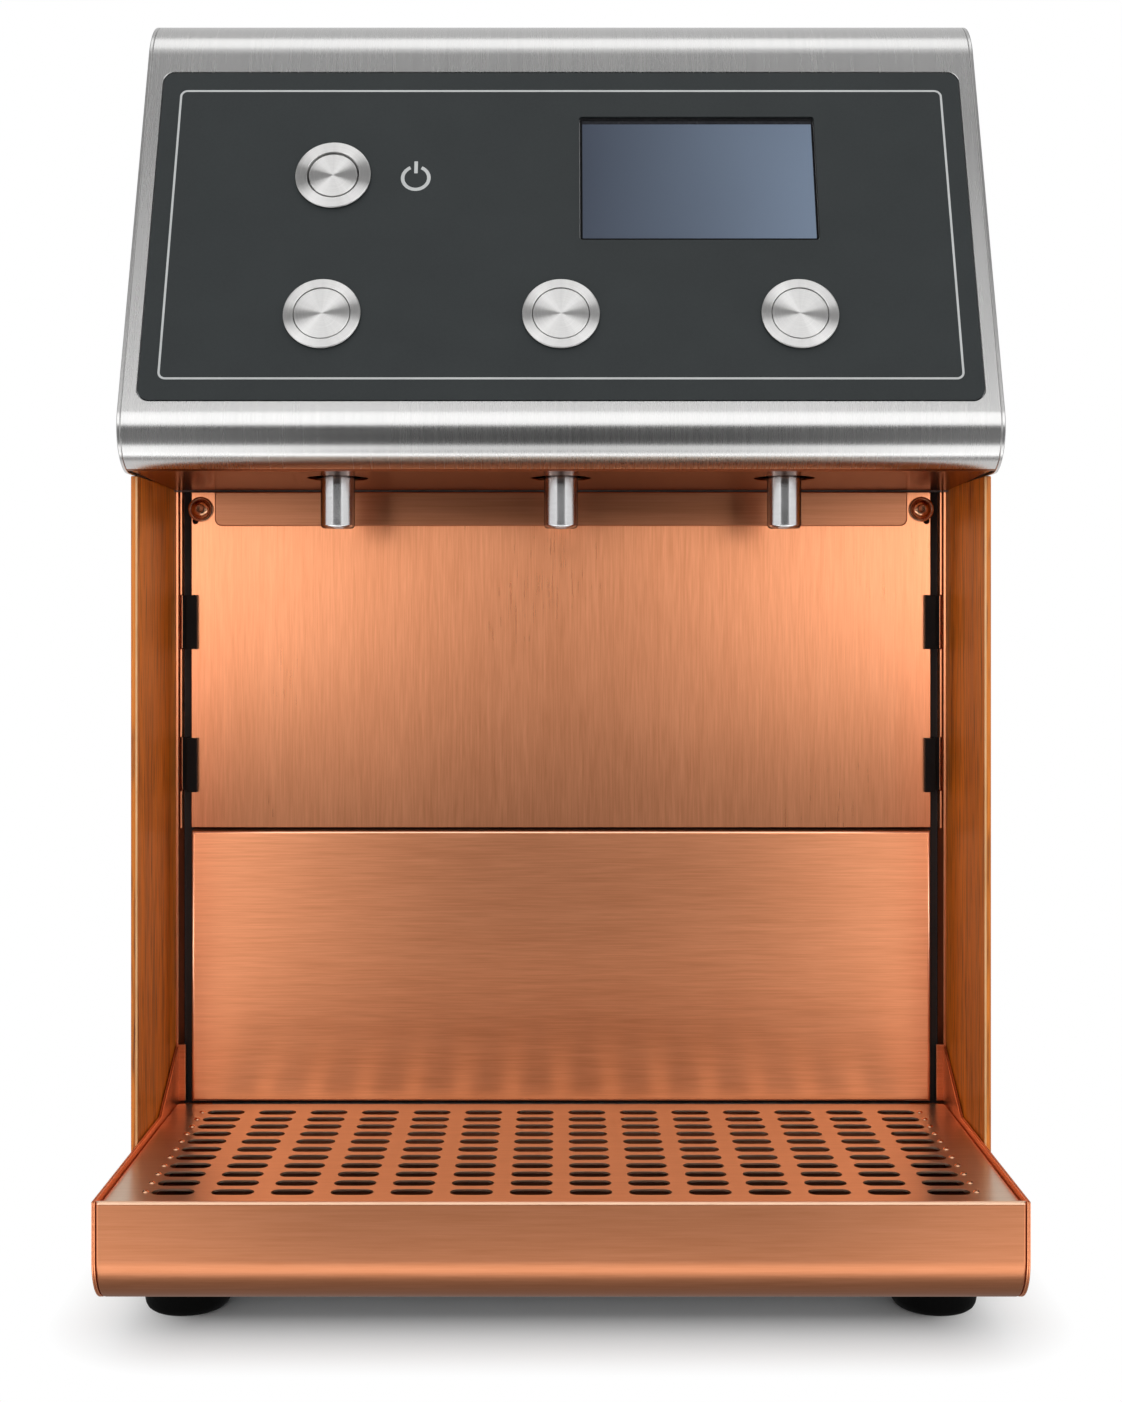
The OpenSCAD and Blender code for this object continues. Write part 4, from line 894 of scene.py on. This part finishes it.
sign_x, sign_v, sign_r, sign_stroke, sign_gap = -60.9, 103.15, 5.5, 1.5, math.radians(25)
bar_l, bar_up, bar_corner = 5.8, 5.2, 0.2


def power_sign():
    """A ring open at the top, with an upright stroke in the gap."""
    bm = bmesh.new()
    ends = [
        bm.verts.new(Vector((r * math.sin(sign_gap), r * math.cos(sign_gap), 0)) * mm)
        for r in (sign_r - sign_stroke / 2, sign_r + sign_stroke / 2)
    ]
    bmesh.ops.spin(
        bm, geom=[*ends, bm.edges.new(ends)], cent=(0, 0, 0), axis=(0, 0, -1),
        dvec=(0, 0, 0), angle=math.tau - 2 * sign_gap, steps=48, use_merge=False,
        use_duplicate=False,
    )
    bar = moved(frame_edge(sign_stroke, bar_l, bar_corner, 3), 0, bar_up, 0)
    filled(bar)
    return thickened(together(bm, bar), (0, 0, print_t * mm))


piece(
    placed(power_sign(), on_face(sign_x, sign_v)), "printed_power_sign", print_white,
    "body", "fascia_grey",
)
dress(inner_steel, "fascia_backplate")

# DISPLAY
# A blank backlit display behind black-edged glass, sunk a little into the fascia's window. The
# module and the control board sit behind it on turned pillars.
pane_t, pane_sunk, film_t = 1.0, 0.6, 0.02
border, shade_h, shade_up = 1.0, 1.5, 27.25
lit_h, lit_up, lit_corner = window_h - 3.9, -1.25, 0.2
lit_from, lit_to = 0.008, 0.107


def screen_finish():
    """The switched-on but empty display: blue-grey, lighter to the right, under clear glass."""
    mat, tree, shader, coords = new_finish("display_screen")
    split = tree.nodes.new("ShaderNodeSeparateXYZ")
    tree.links.new(coords, split.inputs[0])
    across = spread(tree, split.outputs["X"], 0, 0.8, lit_from, lit_to)
    soft = noise(tree, coords, (9, 9, 9), 1)
    value = sum_of(tree, across, spread(tree, soft, 0, 0.2))
    tree.links.new(
        tint(tree, value, (0.024, 0.033, 0.058), (0.165, 0.22, 0.31)),
        shader.inputs["Base Color"],
    )
    shader.inputs["Roughness"].default_value = 0.3
    shader.inputs["Coat Weight"].default_value = 1
    shader.inputs["Coat Roughness"].default_value = 0.03
    fine = noise(tree, coords, (2500, 2500, 2500), 1)
    relief(tree, shader, fine, 0.000002)
    return mat


glass_black = moulded("glass_black_edge", (0.004, 0.004, 0.005), (0.006, 0.006, 0.007), 0.1, 0)
pane = plate(pane_t, frame_edge(window_w, window_h, window_corner, 4))
piece(
    placed(pane, on_face(window_x, window_v, -pane_sunk)), "display_glass_edge", glass_black,
    "body", "display_glass", "display_window", edge=0.2,
)
# The dark band under the window's upper edge is painted shade.
shaded = moulded("display_shaded_edge", (0.009, 0.010, 0.014), (0.011, 0.012, 0.016), 0.2, 0)
band = plate(film_t, frame_edge(window_w - 2 * border, shade_h, 0))
piece(
    placed(moved(band, 0, 0, film_t), on_face(window_x, window_v + shade_up, -pane_sunk)),
    "display_shaded_edge", shaded, "body", "display_glass",
)
lit = plate(film_t, frame_edge(window_w - 2 * border, lit_h, lit_corner, 2))
piece(
    placed(moved(lit, 0, 0, film_t), on_face(window_x, window_v + lit_up, -pane_sunk)),
    "display_lit_area", screen_finish(), "body", "display_glass",
)
dress(black_plastic, "display_module")
board_green = moulded("board_green", (0.012, 0.09, 0.03), (0.02, 0.14, 0.05), 0.35, 0.00002)
dress(board_green, "control_board")
brass = brushed(
    "turned_brass", (0.60, 0.41, 0.15), (0.74, 0.53, 0.22), (500, 500, 500), 0.28, 0.00001
)
dress(brass, "board_standoffs", "button_nuts")

# PUSH SWITCHES
# Stainless push switches: a flanged housing turned on a lathe, held by a nut behind the fascia,
# with a flat cap that moves in it. Turning left fine rings on both, which fan the light out.
flange_t, cap_sunk, power_cap_sunk = 1.6, 0.15, 0.5
power_flange_less, power_cap_less = 0.75, 1.2375
flange_profile = [
    (10.0, -7.0), (11.75, -7.0), (11.75, 1.4), (11.85, 1.55), (12.05, 1.6), (15.3, 1.6),
    (15.55, 1.52), (15.75, 1.3), (15.8, 1.05), (15.7, 0.9), (15.3, 0.8), (15.1, 0.7),
    (15.1, 0.0), (13.8, 0.0), (13.8, -30.0), (10.0, -30.0), (10.0, -7.0),
]
cap_profile = [
    (0, 0), (3, 0), (6, 0), (9, 0), (11.05, 0), (11.25, -0.06), (11.38, -0.2), (11.4, -0.5),
    (11.4, -6), (0, -6),
]


def fanned(bm):
    """Gives a turned piece a map whose first axis runs round its own axis."""
    uv = bm.loops.layers.uv.new("turning")
    for face in bm.faces:
        middle = face.calc_center_median()
        base = math.atan2(middle.y, middle.x)
        for loop in face.loops:
            x, y, z = loop.vert.co
            reach = math.hypot(x, y)
            turn = (math.atan2(y, x) - base + math.pi) % math.tau - math.pi
            angle = base + (turn if reach > 1e-7 else 0)
            loop[uv].uv = (angle / math.tau, (reach - z) / 0.05)
    return bm


def turned_steel(name, dark, light, rough):
    """Steel turned on a lathe: rings of grooves, with the gloss drawn out across them."""
    mat, tree, shader, coords = new_finish(name)
    own = tree.nodes.new("ShaderNodeUVMap")
    own.uv_map = "turning"
    grooves = noise(tree, own.outputs["UV"], (3, 170, 1), 2, 0.7)
    sweep = noise(tree, own.outputs["UV"], (26, 0.5, 1), 2)
    value = sum_of(tree, spread(tree, grooves, 0, 0.6), spread(tree, sweep, 0, 0.4))
    tree.links.new(tint(tree, value, dark, light), shader.inputs["Base Color"])
    shader.inputs["Metallic"].default_value = 1
    shader.inputs["Anisotropic"].default_value = 1
    shader.inputs["Anisotropic Rotation"].default_value = 0.25
    tree.links.new(spread(tree, grooves, rough - 0.04, rough + 0.05), shader.inputs["Roughness"])
    along = tree.nodes.new("ShaderNodeTangent")
    along.direction_type = "UV_MAP"
    along.uv_map = "turning"
    tree.links.new(along.outputs[0], shader.inputs["Tangent"])
    relief(tree, shader, grooves, 0.000008)
    return mat


button_steel = turned_steel(
    "button_turned_steel", (0.68, 0.675, 0.67), (0.84, 0.835, 0.825), 0.33
)
for side, (x, v) in switches.items():
    housing, cap, sunk = flange_profile, cap_profile, cap_sunk
    housing_node, cap_node, cap_body = (
        "button_housing_" + side, "button_cap_" + side, "cap_" + side
    )
    if side == "power":
        housing = [(r - power_flange_less if r < 12.1 else r, z) for r, z in flange_profile]
        cap = [(r - power_cap_less if r > 9 else r, z) for r, z in cap_profile]
        sunk = power_cap_sunk
        housing_node, cap_node, cap_body = (
            "power_button_housing", "power_button_cap", "power_cap"
        )
    piece(
        placed(fanned(turned(housing, 96)), on_face(x, v)), "switch_flange_" + side,
        button_steel, "body", "button_steel", housing_node, smooth=50,
    )
    piece(
        placed(fanned(turned(cap, 96)), on_face(x, v, flange_t - sunk)), "switch_cap_" + side,
        button_steel, cap_body, "button_steel", cap_node, smooth=50,
    )

# REAR
# A stainless cover with two fields of cooling slots, four flush screws, a mains inlet and a
# push-in fitting for the wine's tube.
steel_upright = brushed(
    "stainless_upright", *steel_tones, (1100, 1100, 16), 0.34, 0.00001, (0, 0, 1), 0.6
)
piece(
    copy_of("rear_cover"), "rear_cover_sheet", steel_upright, "body", "stainless",
    "rear_cover", edge=0.3, segments=2,
)
piece(
    copy_of("power_inlet"), "mains_inlet", black_plastic, "body", "black_plastic",
    "power_inlet", edge=0.3, segments=2,
)
dress(screw_steel, "rear_screws")
dress(polished_steel, "wine_inlet")

# WORKS
# Behind the bay: pump, flow heater with its probe, valves on a manifold, power supply and the
# hoses between them. They are bought-in pieces, closed in by the covers.
hose_black = moulded(
    "hose_rubber", (0.016, 0.016, 0.016), (0.026, 0.026, 0.026), 0.5, 0.00005
)
dress(hose_black, "outlet_hoses", "inlet_hose", "pump_hose", "heater_hose")
dress(brass, "valve_left", "valve_centre", "valve_right", "temperature_probe")
dress(black_plastic, "pump")
dress(
    inner_steel, "spout_bar", "valve_rail", "manifold", "heater", "heater_saddle",
    "power_supply",
)

# STUDIO
# A white table that keeps the object's shadow, a level white surround, wide soft boxes in front
# and overhead, two pairs that light only the bay's pieces, and one that lights only the hood.
# Cards that only gloss sees give the metal its dark and bright bands.
surround_level = 0.5
fade_from, fade_over, far_off = (0.143, 0.163), 0.06, 10


def seen_directly(tree):
    """1 for what the camera, gloss or glass sees, 0 for light on other surfaces."""
    path = tree.nodes.new("ShaderNodeLightPath")
    seen = path.outputs["Is Camera Ray"]
    for kind in ("Is Glossy Ray", "Is Transmission Ray"):
        either = tree.nodes.new("ShaderNodeMath")
        either.operation = "MAXIMUM"
        tree.links.new(seen, either.inputs[0])
        tree.links.new(path.outputs[kind], either.inputs[1])
        seen = either.outputs[0]
    return seen


def surround():
    """A white background for the camera and for gloss, and a softer light on the object."""
    world = bpy.data.worlds.new("studio")
    bpy.context.scene.world = world
    world.use_nodes = True
    tree = world.node_tree
    back = tree.nodes["Background"]
    back.inputs["Color"].default_value = (1, 1, 1, 1)
    level = spread(tree, seen_directly(tree), surround_level, 1, 0, 1)
    tree.links.new(level, back.inputs["Strength"])


def table_finish():
    """White paper that keeps the shadow and fades to the white surround round the object."""
    mat, tree, shader, coords = new_finish("table_white")
    shader.inputs["Base Color"].default_value = (0.93, 0.93, 0.93, 1)
    shader.inputs["Roughness"].default_value = 0.9
    shader.inputs["Specular IOR Level"].default_value = 0.1
    split = tree.nodes.new("ShaderNodeSeparateXYZ")
    tree.links.new(coords, split.inputs[0])
    joined = tree.nodes.new("ShaderNodeCombineXYZ")
    for axis, start in zip("XY", fade_from):
        size = tree.nodes.new("ShaderNodeMath")
        size.operation = "ABSOLUTE"
        tree.links.new(split.outputs[axis], size.inputs[0])
        beyond = spread(tree, size.outputs[0], 0, far_off - start, start, far_off)
        tree.links.new(beyond, joined.inputs[axis])
    far = tree.nodes.new("ShaderNodeVectorMath")
    far.operation = "LENGTH"
    tree.links.new(joined.outputs[0], far.inputs[0])
    fade = spread(tree, far.outputs["Value"], 0, 1, 0, fade_over)
    both = tree.nodes.new("ShaderNodeMath")
    both.operation = "MULTIPLY"
    tree.links.new(seen_directly(tree), both.inputs[0])
    tree.links.new(fade, both.inputs[1])
    white = tree.nodes.new("ShaderNodeEmission")
    mix = tree.nodes.new("ShaderNodeMixShader")
    tree.links.new(both.outputs[0], mix.inputs[0])
    tree.links.new(shader.outputs[0], mix.inputs[1])
    tree.links.new(white.outputs[0], mix.inputs[2])
    tree.links.new(mix.outputs[0], tree.nodes["Material Output"].inputs["Surface"])
    return mat


def sheet(name, size, place, target, material):
    """A flat piece of the studio, not part of the object, that looks at a point."""
    bm = bmesh.new()
    bmesh.ops.create_grid(bm, x_segments=1, y_segments=1, size=0.5)
    bmesh.ops.scale(bm, vec=(*size, 1), verts=bm.verts)
    aim = Vector(target) - Vector(place)
    placed(bm, Matrix.Translation(place) @ aim.to_track_quat("Z", "Y").to_matrix().to_4x4())
    mesh = bpy.data.meshes.new(name)
    bm.to_mesh(mesh)
    bm.free()
    mesh.materials.append(material)
    obj = bpy.data.objects.new(name, mesh)
    bpy.context.scene.collection.objects.link(obj)
    return obj


fan_y, fan_from, fan_to = 0.77, 0.09, 0.22


def card(name, size, place, target, tone, side_tone=None):
    """A card that only gloss sees.

    It turns to side_tone in a fan: where x over the distance from fan_y is fan_to or more."""
    mat, tree, shader, coords = new_finish(name + "_paper")
    glow = tree.nodes.new("ShaderNodeEmission")
    glow.inputs["Strength"].default_value = tone
    if side_tone:
        split = tree.nodes.new("ShaderNodeSeparateXYZ")
        position = tree.nodes.new("ShaderNodeNewGeometry").outputs["Position"]
        tree.links.new(position, split.inputs[0])
        off = tree.nodes.new("ShaderNodeMath")
        off.operation = "ABSOLUTE"
        tree.links.new(split.outputs["X"], off.inputs[0])
        away = tree.nodes.new("ShaderNodeMath")
        away.operation = "SUBTRACT"
        away.inputs[0].default_value = fan_y
        tree.links.new(split.outputs["Y"], away.inputs[1])
        slant = tree.nodes.new("ShaderNodeMath")
        slant.operation = "DIVIDE"
        tree.links.new(off.outputs[0], slant.inputs[0])
        tree.links.new(away.outputs[0], slant.inputs[1])
        level = spread(tree, slant.outputs[0], tone, side_tone, fan_from, fan_to)
        tree.links.new(level, glow.inputs["Strength"])
    tree.links.new(glow.outputs[0], tree.nodes["Material Output"].inputs["Surface"])
    obj = sheet(name, size, place, target, mat)
    obj.visible_camera = False
    obj.visible_diffuse = False
    obj.visible_transmission = False
    obj.visible_shadow = False


def soft_box(name, size, place, target, brightness, only=(), past=()):
    """A rectangular soft box of that brightness, 1 being white, that looks at a point.

    only names the pieces that it lights, past the pieces that cast no shadow from it."""
    data = bpy.data.lights.new(name, "AREA")
    data.shape = "RECTANGLE"
    data.size, data.size_y = size
    data.energy = brightness * math.pi * size[0] * size[1]
    lamp = bpy.data.objects.new(name, data)
    lamp.visible_camera = False
    aim = Vector(target) - Vector(place)
    lamp.matrix_world = (
        Matrix.Translation(place) @ aim.to_track_quat("-Z", "Y").to_matrix().to_4x4()
    )
    bpy.context.scene.collection.objects.link(lamp)
    if only:
        lit_pieces = bpy.data.collections.new(name + "_pieces")
        for piece_name in only:
            lit_pieces.objects.link(bpy.data.objects[piece_name])
        lamp.light_linking.receiver_collection = lit_pieces
    if past:
        passed = bpy.data.collections.new(name + "_past")
        for piece_name in past:
            passed.objects.link(bpy.data.objects[piece_name])
        for item in passed.collection_objects:
            item.light_linking.link_state = "EXCLUDE"
        lamp.light_linking.blocker_collection = passed


surround()
sheet("table", (12, 12), (0, 0, 0), (0, 0, 1), table_finish())
front_cards = [
    ("far_wall", 3.4, 5.6, 0, -3.4, 2.6, 0.04),
    ("upper_wall", 1.9, 0.19, 0, -2.1, 2.455, 0.9),
    ("upper_side", 3.6, 0.75, -2.75, -2.1, 2.645, 0.06),
    ("upper_side", 3.6, 0.75, 2.75, -2.1, 2.645, 0.06),
    ("upper_middle", 1.9, 0.47, 0, -2.11, 2.785, 0.05),
    ("dark_wall", 9, 0.4, 0, -2.1, 3.22, 0.06),
    ("high_wall", 9, 0.6, 0, -2.1, 3.72, 0.5),
    ("high_slope", 9, 1.4, 0, -2.1, 4.72, 0.75),
    ("front_flag", 0.46, 0.05, 0, -0.95, 0.37, 0.05),
]
for name, width, height, x, y, z, tone in front_cards:
    card(name, (width, height), (x, y, z), (x, 0, z), tone)
table_cards = [
    ("far_table", 9, 2.9, -1.96, 0.001, 0.05, 0.3),
    ("white_strip", 3, 0.15, -0.435, 0.001, 1.05, 1.8),
    ("dim_strip", 3, 0.07, -0.325, 0.001, 0.6, 1.8),
    ("inner_strip", 3, 0.05, -0.265, 0.001, 2.4, None),
    ("under_strip", 3, 0.09, -0.195, 0.0008, 0.32, None),
]
for name, width, depth, y, z, tone, side_tone in table_cards:
    card(name, (width, depth), (0, y, z), (0, y, 1), tone, side_tone)
card("ceiling", (9, 3.2), (0, -0.5, 5.42), (0, -0.5, 0), 0.4)
card("rear_wall", (9, 4), (0, 1.9, 2.6), (0, 0, 0.6), 0.72)
for x in (-1.1, 1.1):
    card("side_flag", (2.6, 2.6), (x, 1.15, 1.31), (0, 1.15, 1.31), 0.03)
bay_sides = (
    "cheek_left", "cheek_right", "side_frame_left_channel", "side_frame_right_channel",
)
upper_bay = ("service_panel_sheet", "soffit_flange", *bay_sides)
lower_bay = ("lower_panel_folded",)
soft_box("front_soft_box", (3.2, 1.8), (0, -2.2, 1.52), (0, -2.1, 1.52), 1.65)
paired_boxes = [
    ("side_soft_box", (0.96, 0.5), (0.9, -2.25, 0.38), (0, -0.1, 0.38), 3.3, upper_bay, bay_sides),
    ("low_soft_box", (0.96, 0.45), (0.98, -2.25, 0.24), (0, -0.1, 0.24), 4.8, lower_bay, bay_sides),
    ("upper_soft_box", (0.41, 0.5), (0.665, -2.1, 2.77), None, 2, ("hood_folded_sheet",), ()),
]
for name, size, (x, y, z), target, brightness, only, past in paired_boxes:
    for place in ((-x, y, z), (x, y, z)):
        soft_box(name, size, place, target or (place[0], 0, z), brightness, only, past)
soft_box("top_soft_box", (1.8, 0.77), (0, -0.315, 2.1), (0, -0.315, 0), 1.2)

# CAMERA
# Level, straight in front of the bay, with its view shifted down a little.
lens = bpy.data.cameras.new("photo_camera")
lens.lens = 47.5
lens.sensor_width = 36
lens.shift_y = -0.0649
camera = bpy.data.objects.new("photo_camera", lens)
camera.matrix_world = Matrix.Translation((0, -0.9015, 0.2813)) @ Matrix.Rotation(
    math.radians(90), 4, "X"
)
bpy.context.scene.collection.objects.link(camera)
bpy.context.scene.camera = camera
bpy.context.scene.view_settings.view_transform = "Standard"
